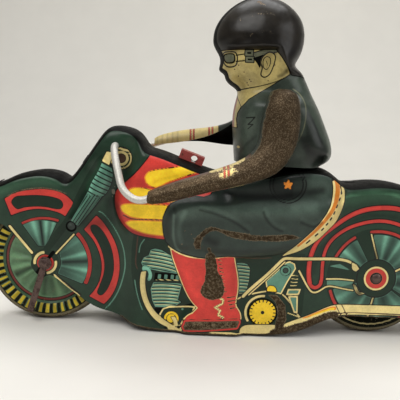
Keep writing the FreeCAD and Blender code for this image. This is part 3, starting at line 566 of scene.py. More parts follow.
# The front fender: two pierced-looking frames in red, printed rays between them and a cream hub ring.
def printFront(p):
    hub = frontHub
    # painted highlight along the fender's top under the seam; lighter towards its tip, darker along the strip
    # left of the fork leg and towards the lower right
    p.glow(polar(hub, (37.2, 128), (36.8, 112), (36.6, 96), (36.8, 82)), 4.2, 1.1)
    p.glow([(-106, 46), (-103, 52), (-98, 58)], 6.0, 0.35)
    p.glow(polar(hub, (34, 60), (30, 57), (20, 57), (10, 60)), 5.0, -0.35)
    p.glow(polar(hub, (44, 20), (44, -10), (42, -35)), 8.0, -0.15)
    p.paint("teal", p.stroke(polar(hub, (33.7, 46), (34.6, 37), (35.2, 23), (35.8, 13), (35.8, 4), (35.3, -5),
                                   (34.5, -20), (33.4, -37)), 0.6))

    upper = p.sided(polar(hub, (33.1, 123), (33.4, 116), (33.2, 108), (32.9, 96), (32.8, 87), (32.3, 77),
                          (30, 66)),
                    polar(hub, (23.1, 68), (23.8, 81), (24.4, 98), (24.9, 114), (25.6, 126)))
    upperSlot = p.outline(polar(hub, (28.9, 119), (30.6, 118.5), (31.6, 114), (30.8, 107), (30.1, 97),
                                (29.6, 86), (29.1, 78), (27.6, 74.4), (25.8, 74.8), (25.1, 80), (25.3, 88),
                                (25.7, 98), (26.4, 110), (26.8, 117)), 3)
    rear = p.sided(polar(hub, (31.5, 45), (31.9, 37), (32.2, 26), (32.7, 15), (33, 4), (33, -7),
                         (32.8, -20), (31.6, -34)),
                   polar(hub, (24.4, -36), (25, -24), (25.2, -13), (25.1, -1), (24.7, 11), (24.2, 24),
                         (23.7, 34), (23.3, 43)))
    rearSlot = p.outline(polar(hub, (26.9, 41), (28.7, 38), (29.5, 29), (29.9, 17), (30.1, 5), (30.1, -7),
                               (29.5, -20), (28.5, -28), (26.6, -28), (26.2, -21), (26.5, -9), (26.5, 2),
                               (26.1, 14), (25.7, 26), (25.6, 37)), 3)
    for tube, slot in ((upper, upperSlot), (rear, rearSlot)):
        p.edged("red", tube, 0.45)
        p.edged("deep", slot, 0.45)
        p.shade(slot, 1.0, -0.25)
    p.shade(upper, 1.0, 0.12)
    p.rub(polar(hub, (33.4, 120), (33.6, 108), (33.4, 96), (33.2, 86), (32.6, 74)), 0.9, 0.62)

    # wells with rays, and the thin bands over them
    wells = [([(20.4, 121), (19.6, 110), (19.2, 98), (19, 86), (18.8, 75)], [(7.8, 89), (8.3, 113)],
              [(107, 4, 1.3), (97, 2.5, -0.7), (89, 3, 1.4), (79, 2, 1.0)], (19.6, 20.6, 73, 121)),
             ([(18.4, 45), (18.6, 27), (18.9, 8), (18.9, -10), (18.6, -28)], [(7.2, -40), (7, 0), (8, 40)],
              [(36, 3, 0.4), (16, 3.5, 1.5), (5, 4, -0.6), (-8, 3.5, 1.5), (-19, 3, 0.3)],
              (19.0, 20.6, -26, 45))]
    for far, close, rays, (inner, outer, first, last) in wells:
        p.fan(hub, p.sided(polar(hub, *far), polar(hub, *close)), 7.0, 19.0, rays)
        band = p.band(hub, inner, outer, first, last, 0.2)
        p.edged("red", band, 0.3)
        p.shade(band, 0.5, -0.3)

    # cream rays along the cut edges
    p.strips(hub, 0.5, ((18.4, 47), (2.9, 36), 0.7), ((22.3, 135), (7.4, 144), 1.1),
             ((6.6, -55), (20.9, -43), 1.0))

    # hub: red half discs with parts of a cream ring, parted by a dark slant
    p.paint("deep", p.disc(hub, 6.3))
    p.paint("cream", p.band(hub, 4.2, 5.4, 95, 190, 0.3))
    p.paint("cream", p.band(hub, 4.1, 5.2, -84, 14, 0.3))
    p.paint("red", p.disc(hub, 3.7))
    p.paint("black", p.stroke(polar(hub, (6, 55), (6, -128)), 1.6))
    p.paint("black", p.disc(hub, 2.5))


# The fork leg with its spring, a cap over it and the headlamp behind it.
def printFork(p):
    # darker down the post's front edge, a painted highlight over its top, and painted shade in the hollow
    # between the fork, the post and the tank
    p.glow([(-62.6, 71), (-58.4, 78.8), (-54.4, 83.6)], 5.0, -0.25)
    p.glow([(-55.5, 84), (-49, 84.6), (-42.5, 81.5)], 5.0, 0.30)
    p.glow([(-50.5, 57), (-48.2, 66), (-44.8, 71)], 5.0, -0.50)
    p.glow([(-60, 46), (-50, 50), (-50, 56)], 6.0, -0.5)
    p.paint("deep", p.sided([(-55.2, 77.5), (-58.4, 74.1), (-61.8, 68.5), (-64.4, 63.5), (-67.1, 57.9),
                             (-69.2, 52.8), (-71.9, 47.7), (-76.3, 41.9), (-81.3, 33.8)],
                            [(-78.6, 33), (-70, 45), (-65, 54), (-60.6, 62), (-55, 73)]))

    leg = p.outline([(-61.5, 60.7), (-58, 59.9), (-55.2, 59.1), (-59.2, 53.4), (-65.3, 45.7), (-67.3, 46.4),
                     (-68.8, 47.4), (-65.2, 53.7)], 0)
    p.edged("teal", leg, 0.5)
    p.lines(leg - 0.2, ((p.x + 67) * 0.84 - (p.z - 46) * 0.54) / 1.25 - 50)
    p.shade(leg, 0.8, -0.25)
    p.glow([(-67.6, 48), (-60.6, 60)], 1.6, 0.9)
    p.glow([(-63.6, 47.6), (-56, 58.4)], 2.0, -0.35)
    p.paint("black", p.disc((-68.6, 45), 2.5))
    p.paint("slate", p.disc((-68.6, 45.2), 1.8))
    p.glow([(-69, 45.8)], 1.0, 1.5)

    # the spring: pale at the left end of each coil
    spring = p.sided([(-55.4, 73.7), (-56.7, 70.5), (-58.1, 67.9), (-59.6, 65.4), (-60.7, 62.6),
                      (-61.3, 60.5)],
                     [(-54.7, 59.2), (-52.6, 61.9), (-51.2, 65.3), (-50.7, 68.6), (-51.4, 72)])
    p.edged("teal", spring)
    p.lines(spring, ((p.x + 61) * 0.42 + (p.z - 60.5) * 0.91) / 2.0 - 50.2)
    p.glow([(-55.8, 73.4), (-57.4, 69.6), (-59.8, 65.4), (-60.8, 61.8)], 2.6, 1.1)
    p.glow([(-52, 71), (-51.6, 66), (-54, 60.6)], 2.2, -0.5)

    # cap and headlamp
    cap = p.outline([(-53.4, 78.6), (-51.6, 78.2), (-51.4, 75.5), (-52.3, 72.8), (-55.4, 74.4)], 0)
    p.edged("cream", cap, 0.4)
    p.glow([(-53.4, 76)], 2.2, 0.15)
    lamp = (-47.2, 75.9)
    p.target(lamp, (5.0, "line"), (4.6, "cream"), (4.0, "deep"), (3.2, "cream"), (2.2, "line"),
             (1.9, "brown"))
    p.shade(p.disc(lamp, 4.8), 1.0, -0.35)


tank = [(-33, 80.5), (-34.2, 78.4), (-36.5, 75), (-40.5, 70.1), (-44.9, 65.9), (-48.8, 62.1), (-49.4, 58.9),
        (-49, 54.6), (-47.1, 50), (-44.2, 46.5), (-40, 44.1), (-34, 43), (-26, 42.6), (-20, 45),
        (-6, 60), (4, 72), (-8, 76), (-22, 80)]
flames = [
    ([(-36.5, 68.7), (-35.3, 70.9), (-32.7, 72), (-27.5, 73), (-21.3, 74.1), (-14.8, 75.9), (-11, 77.4)],
     [(-9, 73.6), (-13.3, 72), (-18.5, 70.3), (-23.7, 68.2), (-27.3, 66.7), (-30.9, 64.7), (-34.1, 65.2),
      (-36, 66.9)]),
    ([(-42.9, 62.2), (-42, 63.9), (-38.3, 64.4), (-34, 63.8), (-30.8, 63.2), (-22, 63.4)],
     [(-22, 59.4), (-27, 58.6), (-33.9, 58.4), (-39.2, 59.5), (-42.9, 62)]),
    ([(-46.6, 55.4), (-45.7, 56.7), (-43.4, 57.3), (-39.1, 57.4), (-31.2, 57.4), (-22, 57.8)],
     [(-24, 51.1), (-33.6, 50.9), (-39, 51.1), (-42.2, 51.7), (-45.1, 53.3), (-46.4, 55.2)]),
    ([(-44.4, 48.6), (-42.9, 49.8), (-40, 50.3), (-33.6, 50.4), (-24, 50.7)],
     [(-24, 43.8), (-27.6, 43.9), (-33.5, 44.2), (-37.8, 45.1), (-41.6, 46.7), (-44.2, 48.4)]),
]


def printTank(p):
    shape = p.outline(tank)
    p.edged("red", shape, 0.5)
    p.shade(shape, 4.0, 0.12)
    # painted highlight over the tank's top and painted shade along its lower front edge
    p.glow([(-40, 71), (-34, 76), (-24, 75)], 5.0, 0.30)
    p.glow([(-48, 55), (-46.4, 50), (-42, 45.5), (-32, 43.2)], 2.2, -0.35)
    for number, (top, bottom) in enumerate(flames):
        field = p.sided(top, bottom)
        p.paint("orange", field + 0.25)
        p.paint("yellow", field - 0.3)
        p.shade(field - 0.6, 2.4, (0.16, 0.02, -0.12, -0.16)[number])
    p.paint("brown", p.stroke([(-45.2, 52.2), (-42, 50.9), (-38, 50.7), (-24, 50.9)], 0.55))
    p.glow([(-32, 67.2), (-26, 69), (-18, 71.6), (-12, 74)], 1.6, -0.22)


# The engine: a finned head and barrel, the neck between them, and a hook.
def printEngine(p):
    panel = p.outline([(-40.5, 46), (-41.4, 37), (-41.4, 28), (-40.2, 20.4), (-36.6, 12.6), (-31.5, 5.2),
                       (-26, 1), (-10, -2), (30, -2), (34, 12), (34.5, 30), (33.5, 38.5),
                       (12, 40), (-10, 40), (-26, 46)], 0)
    p.paint("deep", panel)
    p.paint("brown", p.stroke([(-38.6, 44), (-39, 39.8), (-39.3, 34.8), (-39.4, 31.5), (-38.6, 28.7)], 0.5))
    p.paint("teal", p.stroke([(-35.9, 41.9), (-37.5, 39.3), (-38.1, 36)], 0.45))
    p.paint("teal", p.stroke([(-39.6, 23.6), (-38.8, 19.1), (-37.6, 14.7), (-35.9, 10.2)], 0.5))

    head = p.outline([(-33.1, 37.3), (-31.2, 38), (-28.5, 37.5), (-25.8, 36), (-23.4, 35), (-20.6, 29.2),
                      (-21, 27.3), (-28.8, 28), (-36.2, 29.4), (-37, 31.6), (-36, 33.8), (-33.8, 35)], 0)
    barrel = p.outline([(-31.5, 22.9), (-19, 23), (-19.6, 20), (-20.6, 15.4), (-19, 14.6), (-22.6, 11.9),
                        (-30.4, 11.9), (-31.8, 14.9), (-32.6, 20)], 0)
    for mass in (head, barrel):
        p.edged("teal", mass, 0.5)
        p.shade(mass, 0.8, 0.3)
    across = p.x + 36
    p.lines(head - 0.3, (p.z + 0.03 * across + 0.008 * across ** 2) / 1.55)
    p.lines(barrel - 0.3, (p.z + 0.01 * (p.x + 26) ** 2) / 1.5)
    p.glow([(-29, 35.6), (-25, 33)], 3.0, 0.45)
    p.glow([(-24, 13), (-22.6, 21)], 3.0, 0.35)
    p.glow([(-34.8, 31), (-34, 34)], 2.0, -0.3)

    neck = p.outline([(-30.9, 27.4), (-20, 27.2), (-19.4, 24), (-31.3, 23.7)], 0)
    p.paint("black", neck)
    for x in (-29.6, -26.8, -24.0, -21.8):
        p.paint("teal", p.outline([(x, 26.8), (x + 1.5, 26.7), (x + 1.3, 24.6), (x - 0.2, 24.7)], 0))
    p.paint("cream", p.stroke([(-30.4, 24.2), (-20.2, 24.4)], 0.5))
    p.edged("teal", p.sided([(-36.6, 29.1), (-35.1, 30.3), (-33.1, 28.7), (-32.1, 25.9), (-33, 23.6),
                             (-34.1, 24.2)],
                            [(-33.6, 26.4), (-34.4, 28.1), (-36.3, 27.9)]), 0.4)
    p.glow([(-36, 29), (-33.6, 28.4), (-32.8, 25)], 1.6, 1.3)


# The chain cover with its disc, the crash bar in front of it and the strip under both.
def printCover(p):
    p.paint("black", p.outline([(-33, 11), (-20, 12.4), (-12, 15.5), (-14, 3), (-25, 1.4),
                                (-30.6, 5.8)], 0))
    cover = p.outline([(-28.3, 5.9), (-28.4, 8.8), (-27, 11.4), (-24.4, 12.4), (-12.6, 13.3), (-13.9, 10.1),
                       (-17.6, 7.1), (-19.1, 4), (-21.9, 3.2), (-26, 3.8)], 0)
    p.edged("cream", cover, 0.3)
    p.paint("deep", cover - 0.55)
    disc = (-23.1, 6.9)
    p.edged("yellow", p.disc(disc, 3.2), 0.4)
    p.paint("line", p.circle(disc, 2.1, 0.5))
    lever = p.outline([(-23.4, 7.6), (-21.5, 7.7), (-20.6, 6.3), (-20, 3.7), (-21.4, 3.1), (-22.3, 5.9)], 0)
    p.edged("cream", lever, 0.3)
    for place in ((-18.4, 11.4), (-16.2, 9.2)):
        p.paint("teal", p.disc(place, 0.5))

    bar = p.sided([(-36.9, 27.4), (-37.3, 23.2), (-36.9, 18.7), (-35.4, 13.6), (-32.5, 8.6), (-28.6, 4.8),
                   (-24.1, 2.7), (-20.2, 1.1)],
                  [(-21.4, 3.4), (-23.6, 4.4), (-27.5, 7.1), (-30.9, 10.4), (-33.5, 14.9), (-34.7, 19.3),
                   (-35.1, 23.3), (-34.7, 27.8)])
    p.edged("cream", bar, 0.5)
    p.glow([(-34.9, 27), (-34.9, 20), (-33.2, 14), (-30, 9), (-25, 5)], 1.0, -0.22)
    p.paint("cream", p.stroke([(-24, 2.2), (-16, 1.7), (-6, 1.7), (8, 1.9)], 1.3, 1.2))


# The boot: red leather with a cream edge, worn through down the shin, over a brown sole.
def printBoot(p):
    boot = p.sided([(-25, 39.4), (-24.2, 38), (-23.3, 34.6), (-21.2, 29.3), (-18.2, 22.1), (-15.3, 16.7),
                    (-11.6, 12.9)],
                   [(-13.9, 10.1), (-17.1, 7.7), (-18.6, 4.7), (-18.3, 3.1)],
                   [(7, 5.9), (7.1, 9.1), (6.2, 11.9), (4.6, 14.8), (4.9, 19.5), (5, 25.4), (3.8, 31.5),
                    (2.7, 37)])
    p.paint("line", boot + 0.8)
    p.paint("cream", boot + 0.4)
    p.paint("red", boot)
    p.shade(boot, 1.0, 0.2)
    p.glow([(-20, 35), (-15.5, 24), (-11, 15)], 3.4, 0.22)
    p.glow([(3.2, 33), (3.6, 20)], 2.4, -0.20)
    crease = [(-2, 17.6), (-0.9, 17.1), (-1.1, 15.4), (-4.3, 13.6), (-2, 12.2), (-2.8, 10.2), (-0.5, 9.2),
              (-1.3, 8)]
    p.edged("cream", p.stroke(crease, 0.5, 0.4, 0), 0.35)
    for k in range(4):
        p.paint("line", p.stroke([(0.8 + 0.5 * k, 18.2 - 1.6 * k), (4.6, 18.8 - 1.7 * k)], 0.8, 0.5))
    sole = p.sided([(-18.3, 4.2), (-17.5, 6.1), (-14.9, 7.1), (-2.9, 7.7), (5.2, 8.3), (7, 7), (6, 4.3)],
                   [(-2.7, 3.2), (-10.3, 2.4), (-17.4, 2.1)])
    p.paint("line", sole + 0.7)
    p.paint("red", sole + 0.3)
    p.paint("brown", sole - 0.4)
    p.rubInside(sole, 1.6, 0.62, 0.3)

    hem = [(-25.4, 39.4), (-22.5, 37.7), (-18.2, 36), (-13.3, 35.2), (-8.5, 35.2), (-4.3, 35.6), (-1.1, 36.3),
           (2.7, 36.4)]
    p.paint("line", p.stroke([(x, z + 0.7) for x, z in hem], 1.4))
    p.paint("cream", p.stroke(hem, 0.7, 0.5))

    # the worn place, with short ticks on its right
    patch = p.outline([(-8.6, 37.2), (-6, 37.2), (-4.7, 33.1), (-3.9, 29.2), (-1.6, 25.4), (-0.9, 21),
                       (-2.3, 18.1), (-6.6, 17.2), (-9.9, 18.9), (-10.5, 21.6), (-9.1, 25.1), (-8.8, 30.1),
                       (-9.3, 34)])
    p.rubInside(patch, 2.4, 0.95, 0.62)
    for k in range(9):
        x, z = -3.9 + 0.34 * k, 34.8 - 1.7 * k
        p.paint("line", p.stroke([(x, z), (x + 1.6, z - 0.5)], 0.8, 0.5))


# Behind the boot: a second cylinder, the yellow gear under its cover, the flange and the small boxes.
def printDrive(p):
    rear = p.sided([(4, 33.4), (8.4, 33), (10.1, 30.9)], [(9.9, 25.3), (8.5, 20.2), (4.6, 20)])
    p.edged("teal", rear, 0.4)
    p.lines(rear, (p.z + 0.1 * p.x) / 1.5)
    p.paint("deep", p.outline([(9.6, 19), (14.6, 24.2), (20.2, 29.8), (24.6, 34.2), (30, 33), (28.5, 26),
                               (25, 19.6), (18, 18)], 0))

    gear, gearRadius, teeth = (16.7, 11.4), 5.8, 20
    inside = p.outline([(5, 16.8), (10.7, 19.2), (16.1, 20.6), (19.3, 21), (23.7, 20.3), (27.8, 16.8),
                        (31.4, 11.8), (26, 3), (6, 2)], 0)
    p.paint("deep", inside)
    p.edged("cream", p.stroke([(5.6, 17.5), (10.7, 19.4), (16.1, 20.8), (19.3, 21.2), (23.7, 20.6),
                               (27.8, 17.1), (31.4, 12.1), (34.3, 9.4)], 0.7, 0.6), 0.45)
    p.edged("cream", p.band(gear, 7.0, 8.0, 85, 215))
    flat = p.z - (gear[1] - 5.7)
    p.paint("black", np.minimum(p.disc(gear, gearRadius + 0.7), flat + 0.5))
    face = np.minimum(p.disc(gear, gearRadius), flat)
    p.paint("yellow", face)
    turn = p.about(gear)[1]
    p.lines(np.minimum(0.7 - np.abs(p.disc(gear, gearRadius - 0.5)), face), teeth * turn / (2 * math.pi) - 50)
    p.paint("line", p.disc(gear, 0.9))
    worn = p.outline([(18.9, 19.5), (22.2, 19.6), (26.3, 15.3), (27.3, 8.5), (25.9, 5), (23.2, 3.1),
                      (22.4, 5.9), (23.6, 10.6), (22.2, 16.2)], 0)
    p.paint("brown", worn)
    p.rubInside(worn, 2.0, 0.85, 0.55)

    flange = p.outline([(24.3, 20), (26.7, 25.5), (30, 31.8), (29.3, 34), (27.1, 35), (25.2, 34.4),
                        (20.8, 29.6), (17, 25.8), (18, 21.2)], 0)
    p.edged("cream", flange, 0.4)
    p.paint("teal", flange - 0.5)
    p.shade(flange, 0.6, 0.2)
    foot = p.outline([(18, 21.2), (18.2, 22.9), (19.2, 23.7), (20.8, 23.5), (21.7, 22.7), (22.3, 21.1)], 0)
    p.edged("yellow", foot, 0.4)
    knob = (25.5, 30.8)
    p.target(knob, (2.6, "line"), (2.1, "teal"), (1.4, "line"), (1.0, "slate"))
    box = p.outline([(27.1, 22.6), (32.7, 22.8), (32, 20.1), (26.4, 19.8)], 0)
    wedge = p.outline([(27.3, 19.4), (31.6, 19.6), (32, 11.9), (30.4, 11.8)], 0)
    for part in (box, wedge):
        p.edged("cream", part, 0.4)
        p.paint("teal", part - 0.55)
    for k in range(4):
        z = 24.2 + 1.5 * k
        p.paint("cream", p.stroke([(28.0 + 0.2 * k, z), (31.0, z)], 0.5, 0.4))
    p.paint("cream", p.stroke([(27.8, 11.7), (31.4, 10.5), (34.1, 9.3)], 0.5))


# The frame tubes, cream between dark lines, run back over the printed wheel to hooks at its hub.
def printTubes(p):
    p.paint("teal", p.outline([(43.9, 27.1), (55.9, 26.1), (56.2, 22.9), (44.1, 24.6)], 0))
    p.paint("teal", p.outline([(44.3, 33.3), (53.2, 31.5), (54.1, 31.5), (49.3, 34.2)], 0))
    tubes = [([(7.8, 18.4), (12.7, 23.7), (17.8, 28.7), (22.8, 34.3), (25.4, 36.2), (29.7, 36.2),
               (35.7, 36.4), (42.3, 36.5), (46.8, 36.4), (51.4, 35.8), (54.7, 34.6), (56.8, 33.3),
               (57.6, 32)], 1.3, 1.1),
             ([(10.2, 19.1), (15.3, 24.4), (20.4, 29.7), (25, 34.6)], 0.5, 0.5),
             ([(43.7, 27.5), (49.8, 27.4), (56.1, 26.7)], 0.7, 0.6),
             ([(31.3, 30.9), (33.7, 26.9), (36.2, 23), (38.5, 21.4), (41.2, 22.3), (43.7, 23.9), (46.5, 24.1),
               (50.2, 23.3), (56.2, 22.2)], 0.8, 0.6)]
    for line, width, lastWidth in tubes:
        tube = p.stroke(line, width, lastWidth)
        p.edged("cream", tube, 0.45)
        p.level(tube, 1.0)
    for hook in ([(54.7, 34.9), (56.8, 33.8), (58.1, 32), (56.8, 30.8), (55.4, 31.5), (54.9, 32.4)],
                 [(55.8, 25.1), (57.1, 24.7), (59, 21.6), (61.5, 21), (59.3, 20), (57.7, 21.1)]):
        p.edged("cream", p.outline(hook, 0), 0.4)


# The rear fender: a printed wheel with rays, and two red tubes round it joined in a U.
def printRear(p):
    hub = rearHub
    # painted highlight along the fender's top, with a narrow brighter painted highlight along its crest
    p.glow([(49.4, 62.6), (56.2, 64), (62.3, 65), (69.2, 64.6), (80, 62.6), (90, 57), (98, 46)], 4.4, 0.9)
    p.glow([(49.4, 63.7), (55.6, 65.1), (62, 66), (67.6, 65.8), (72.9, 64.5), (80, 61.8)], 0.9, 1.5)
    p.glow(polar(hub, (28.4, 175), (28.4, 150), (28, 120), (28.2, 90), (28.2, 50), (28.2, 0)), 2.0, -0.35)

    p.paint("deep", p.disc(hub, 22.4))
    fans = [(120, 153, [(142, 3.5, 1.4), (129, 4, -0.4), (151, 2, 0.5)]),
            (30, 98, [(82, 3.5, 1.3), (71, 5, -0.4), (61, 3, 1.5), (42, 4, 0.8)]),
            (-30, 20, [(8, 4, 1.0), (-10, 6, -0.4), (-22, 3, 1.1)]),
            (-95, -36, [(-50, 5, 0.9), (-68, 6, -0.4), (-85, 4, 1.0)]),
            (-165, -100, [(-150, 5, 0.9), (-134, 5, -0.3), (-118, 4, 1.2)])]
    for first, last, rays in fans:
        p.fan(hub, p.band(hub, 8.0, 19.6, first, last, 0.4), 8.0, 20.0, rays)
        band = p.band(hub, 20.4, 21.6, first, last + 4, 0.2)
        p.edged("red", band)
        p.shade(band, 0.5, -0.25)
    p.strips(hub, 0.45, ((20, 101), (7.3, 88), 0.6), ((20, 27), (7.3, 23), 0.8),
             ((20, -98), (7.3, -92), 0.7))
    p.target(hub, (8.9, "line"), (8.3, "deep"), (5.9, "line"), (5.4, "cream"), (4.6, "red"), (2.8, "line"))
    p.level(p.disc(hub, 8.9), 1.0)

    # red tubes
    outer = [(36.3, 25.8), (35.6, 30), (35.7, 35.9), (37, 41.3), (39.8, 46.5), (45.5, 51.1), (52, 55.5),
             (58.4, 58.2), (64.8, 59.4), (73.4, 59.1), (83, 55.2), (90.5, 48.5), (95.5, 39.5), (97.3, 29),
             (95.8, 19)]
    inner = [(41.2, 25.8), (41.5, 29), (41.4, 33.8), (42, 39.6), (44.7, 44.9), (50.2, 49.3), (56.7, 52),
             (65.3, 53.7), (74.1, 52.3), (81.5, 48.4), (87.4, 42), (90.8, 34), (91.2, 26), (90, 20)]
    joint = [(36.2, 26.4), (36.8, 24.6), (38.8, 23.6), (40.7, 24.6), (41.2, 26.4)]
    tubes = np.maximum.reduce([p.stroke(outer, 1.9), p.stroke(inner, 1.4), p.stroke(joint, 1.5)])
    p.edged("red", tubes, 0.5)
    p.glow(outer[:9], 0.7, 0.30)


# The exhaust: from under the boot back along the belly, then a straight silencer.
def printExhaust(p):
    p.edged("cream", p.sided([(7.2, 2.2), (8.5, 4.9), (13.7, 5.6), (20.8, 5.9), (22.8, 6)],
                             [(22.1, 3.1), (18.4, 1), (8.5, 0.4), (-3, 0.4)]), 0.5)
    pipe = p.sided([(25.6, 5.9), (29.8, 8.1), (34.9, 10.2), (39.2, 12.1), (44.1, 14.3), (49, 15.6),
                    (55.5, 15.6), (66, 15.7), (77.7, 15.8), (90, 15.8), (103, 15.2)],
                   [(104, 11.6), (90, 11.5), (78.1, 11.5), (62, 11.2), (51.3, 10.9), (44.4, 9.2), (36, 5.6),
                    (26.6, 3.2)])
    p.edged("cream", pipe, 0.5)
    p.level(pipe, 1.12)
    p.paint("orange", p.stroke([(34.5, 9.6), (39, 11.4), (44.4, 13.4), (48.4, 14)], 0.5, 1.8))
    p.paint("yellow", p.stroke([(36, 9.9), (40, 11.5), (45, 13.3), (48, 13.8)], 0.4, 1.2))
    p.paint("brown", p.stroke([(50.5, 11.6), (60, 11.9), (78, 12), (103, 12)], 0.55))
    for x in (48.8, 51.6):
        p.paint("brown", p.stroke([(x, 15.8), (x + 3.0, 10.4)], 0.5))
    p.rub([(22, 2.6), (26.6, 3.6), (31.8, 5.2), (37.8, 7.6), (44, 10.2), (49, 11)], 3.2, 0.95)


# The trousers: painted shade over the upper part under the arm, a painted highlight over the thigh, and folds
# as soft lines.
def printLegs(p):
    legs = p.outline([(-28, 49.4), (-27.2, 54), (-24.9, 58), (-19, 60.9), (-14, 61.6), (-8, 62.5),
                      (0, 74), (46.6, 76), (47, 69.4), (46, 62), (43.5, 56.4), (41, 52), (37, 48.2),
                      (31.1, 44.6), (26, 40.4), (20, 38), (8, 36.8), (0, 36.9), (-9.3, 35.5),
                      (-16, 36.4), (-22, 38.4), (-26.4, 41.6)], 2)
    p.edged("slate", legs, 0.6)
    # painted shade above the thigh under the arm, darker in front of the knee, and a painted highlight over
    # the thigh
    edge = [(-23, 53.9), (-19.4, 56.4), (-13.7, 58), (-8, 58.2), (-2.3, 58.5), (3.5, 59.4), (10.2, 61),
            (17.8, 61.9), (26, 62.4)]
    p.shade(np.minimum(p.sided(edge, [(26, 70), (-30, 70)]), legs), 1.2, -0.55)
    p.glow([(-20, 54.2), (-12, 55.6), (0, 56), (12, 57), (24, 57.6), (34, 58.6)], 5.0, 1.1)
    p.glow([(27, 59.4), (31, 60.4), (34.8, 59.9)], 4.0, 0.4)
    p.glow([(-26, 44), (-26.6, 51), (-24, 56)], 2.6, -0.5)
    p.glow([(-23.5, 53.8), (-23.5, 47.4), (-22.8, 41.7), (-20.3, 37.6)], 0.9, 1.6)
    p.glow([(-18.8, 55.1), (-20.6, 50.8), (-20.9, 46.5), (-19.9, 42.2)], 1.8, 0.7)
    p.glow([(-8.9, 43.8), (-5.6, 42.4)], 3.6, -0.6)
    for place in ((-18.5, 47.4), (-15.8, 45.9), (-14.7, 44.3), (-19.6, 41.4), (-11, 44.2)):
        p.rub([place], 0.7, 0.8)
    # darker along the underside of the leg, and painted shade under the arm on the hip
    p.glow([(-8, 38), (4, 39.2), (16, 40), (28, 43)], 3.0, -0.35)
    p.glow([(-2, 63.4), (10, 62.8), (22, 63.6), (38, 66.6)], 2.8, -0.70)
    p.glow([(2, 72.4), (18, 71.6), (32, 73)], 3.0, -0.6)
    p.glow([(34, 72), (38, 69), (39, 62)], 6.0, 0.75)
    for fold in ([(-12.6, 56.4), (-8.4, 55.6), (-4.2, 54.4), (1.2, 52.3), (5.5, 49.8), (8.2, 48)],
                 [(14, 56.6), (15.2, 54), (18, 50.9), (22.3, 48.9)], [(30, 53), (35, 51.4), (38.6, 53.4)]):
        p.glow(fold, 1.0, -0.6)
        p.glow([(x + 0.6, z + 1.3) for x, z in fold], 1.6, 0.35)
    p.paint("brown", p.stroke([(3, 36.3), (11, 35.9), (19, 36.2)], 0.5))


# A ringed star on the hip.
def printBadge(p):
    badge = (23.7, 68.4)
    p.shade(p.disc(badge, 7.6), 3.0, -0.4)
    for radius in (7.6, 6.3):
        p.paint("line", p.circle(badge, radius, 0.75))
    p.glow([(16.8, 65), (24, 61.6), (31.2, 65)], 1.4, 0.5)
    # the star's radius is a cosine of five times the angle from the top
    r, turn = p.about(badge)
    star = 1.65 + 0.5 * np.cos(5 * (math.pi / 2 - turn)) - r
    p.edged("orange", star, 0.3)
    p.level(star, 1.15)


# The seat's edge: a tan band with a cream rim and dark stitches.
def printSeat(p):
    left = [(42, 71.2), (42.7, 67.5), (42.5, 63.3), (41.1, 58.8), (38.5, 54), (34.7, 49.2), (28.5, 42.8),
            (23.5, 37.2)]
    right = [(47.8, 69), (48.3, 65.7), (48.7, 61.6), (47.2, 56.4), (44.3, 51.8), (40.1, 47.5), (34.9, 42.8),
             (26.8, 38.4)]
    middle = curve([(46.1, 70.5), (46.1, 68.7), (46.3, 65.5), (45.1, 61.8), (43.8, 58), (42.1, 54.6),
                    (40.1, 51.5), (37.3, 48.4), (33, 44)], 4)
    p.edged("cream", p.sided(left, right[::-1]), 0.5)
    tan = p.stroke([(44, 71.5), (44.7, 67.1), (44.2, 63.2), (42.9, 59.2), (40.8, 55.6), (38, 51.8),
                    (34.6, 48), (29.5, 42.8)], 2.2, 1.0)
    p.paint("orange", tan)
    p.shade(tan, 0.6, -0.2)
    for ends in zip(middle[1::3], middle[2::3]):
        p.paint("line", p.stroke(ends, 0.95))


# The long worn line down the thigh.
def printThigh(p):
    top = [(-14, 39.4), (-14.4, 43.5), (-12.2, 46.3), (-9.2, 49.1), (-5, 49.1), (0.4, 48), (5.6, 47.5),
           (10.9, 46.8), (16.2, 46.8), (21.4, 47.4), (25.6, 47.5), (30.9, 46.4)]
    low = [(26.8, 45.4), (21.6, 44.5), (16.3, 44.2), (11.1, 44.1), (5.8, 44.5), (-0.6, 45.8), (-6, 48),
           (-10, 45.6), (-11.6, 43), (-11.4, 39.4)]
    p.rubInside(p.sided(top, low), 2.0, 0.78, 0.55)
    p.rub([(-8, 39.6), (-7.4, 37)], 2.0, 0.7)


bodyParts = (printFront, printEngine, printCover, printDrive, printRear, printExhaust, printTubes, printTank,
             printBoot, printLegs, printBadge, printSeat, printThigh, printFork)


def printBody(x, z, inset):
    p = Print(x, z)
    # painted shade along the seam over the tank's top
    p.glow([(-38, 84), (-30, 79)], 3.0, -0.5)
    for part in bodyParts:
        part(p)
    # the seam wall is black, and the open edge is bare
    p.paint("black", cutOff(body["seamInk"] - inset))
    edge = curve(body["lowerEdge"][body["wornFrom"]:], 3)
    p.rubInside(-lineDistance(x, z, edge), body["edgeReach"], body["edgeWear"], 1.0)
    p.wear = np.where(inset < body["seamInk"], 0.0, p.wear)
    p.gain = np.where(inset < body["seamInk"], 1.0, p.gain)
    return p


def bodyHalf(name, sign):
    points, seam = bodySurface()
    x, z = points[..., 0], points[..., 2]
    inset = lineDistance(x, z, seam)
    inset[:, 0] = 0.0
    half = closedSheet(name, mirrored(points, sign), tin, body["liningStep"], seam=("first",))
    printBody(x, z, inset).putOn(half)
    return half


# ---- rider: torso and head ----

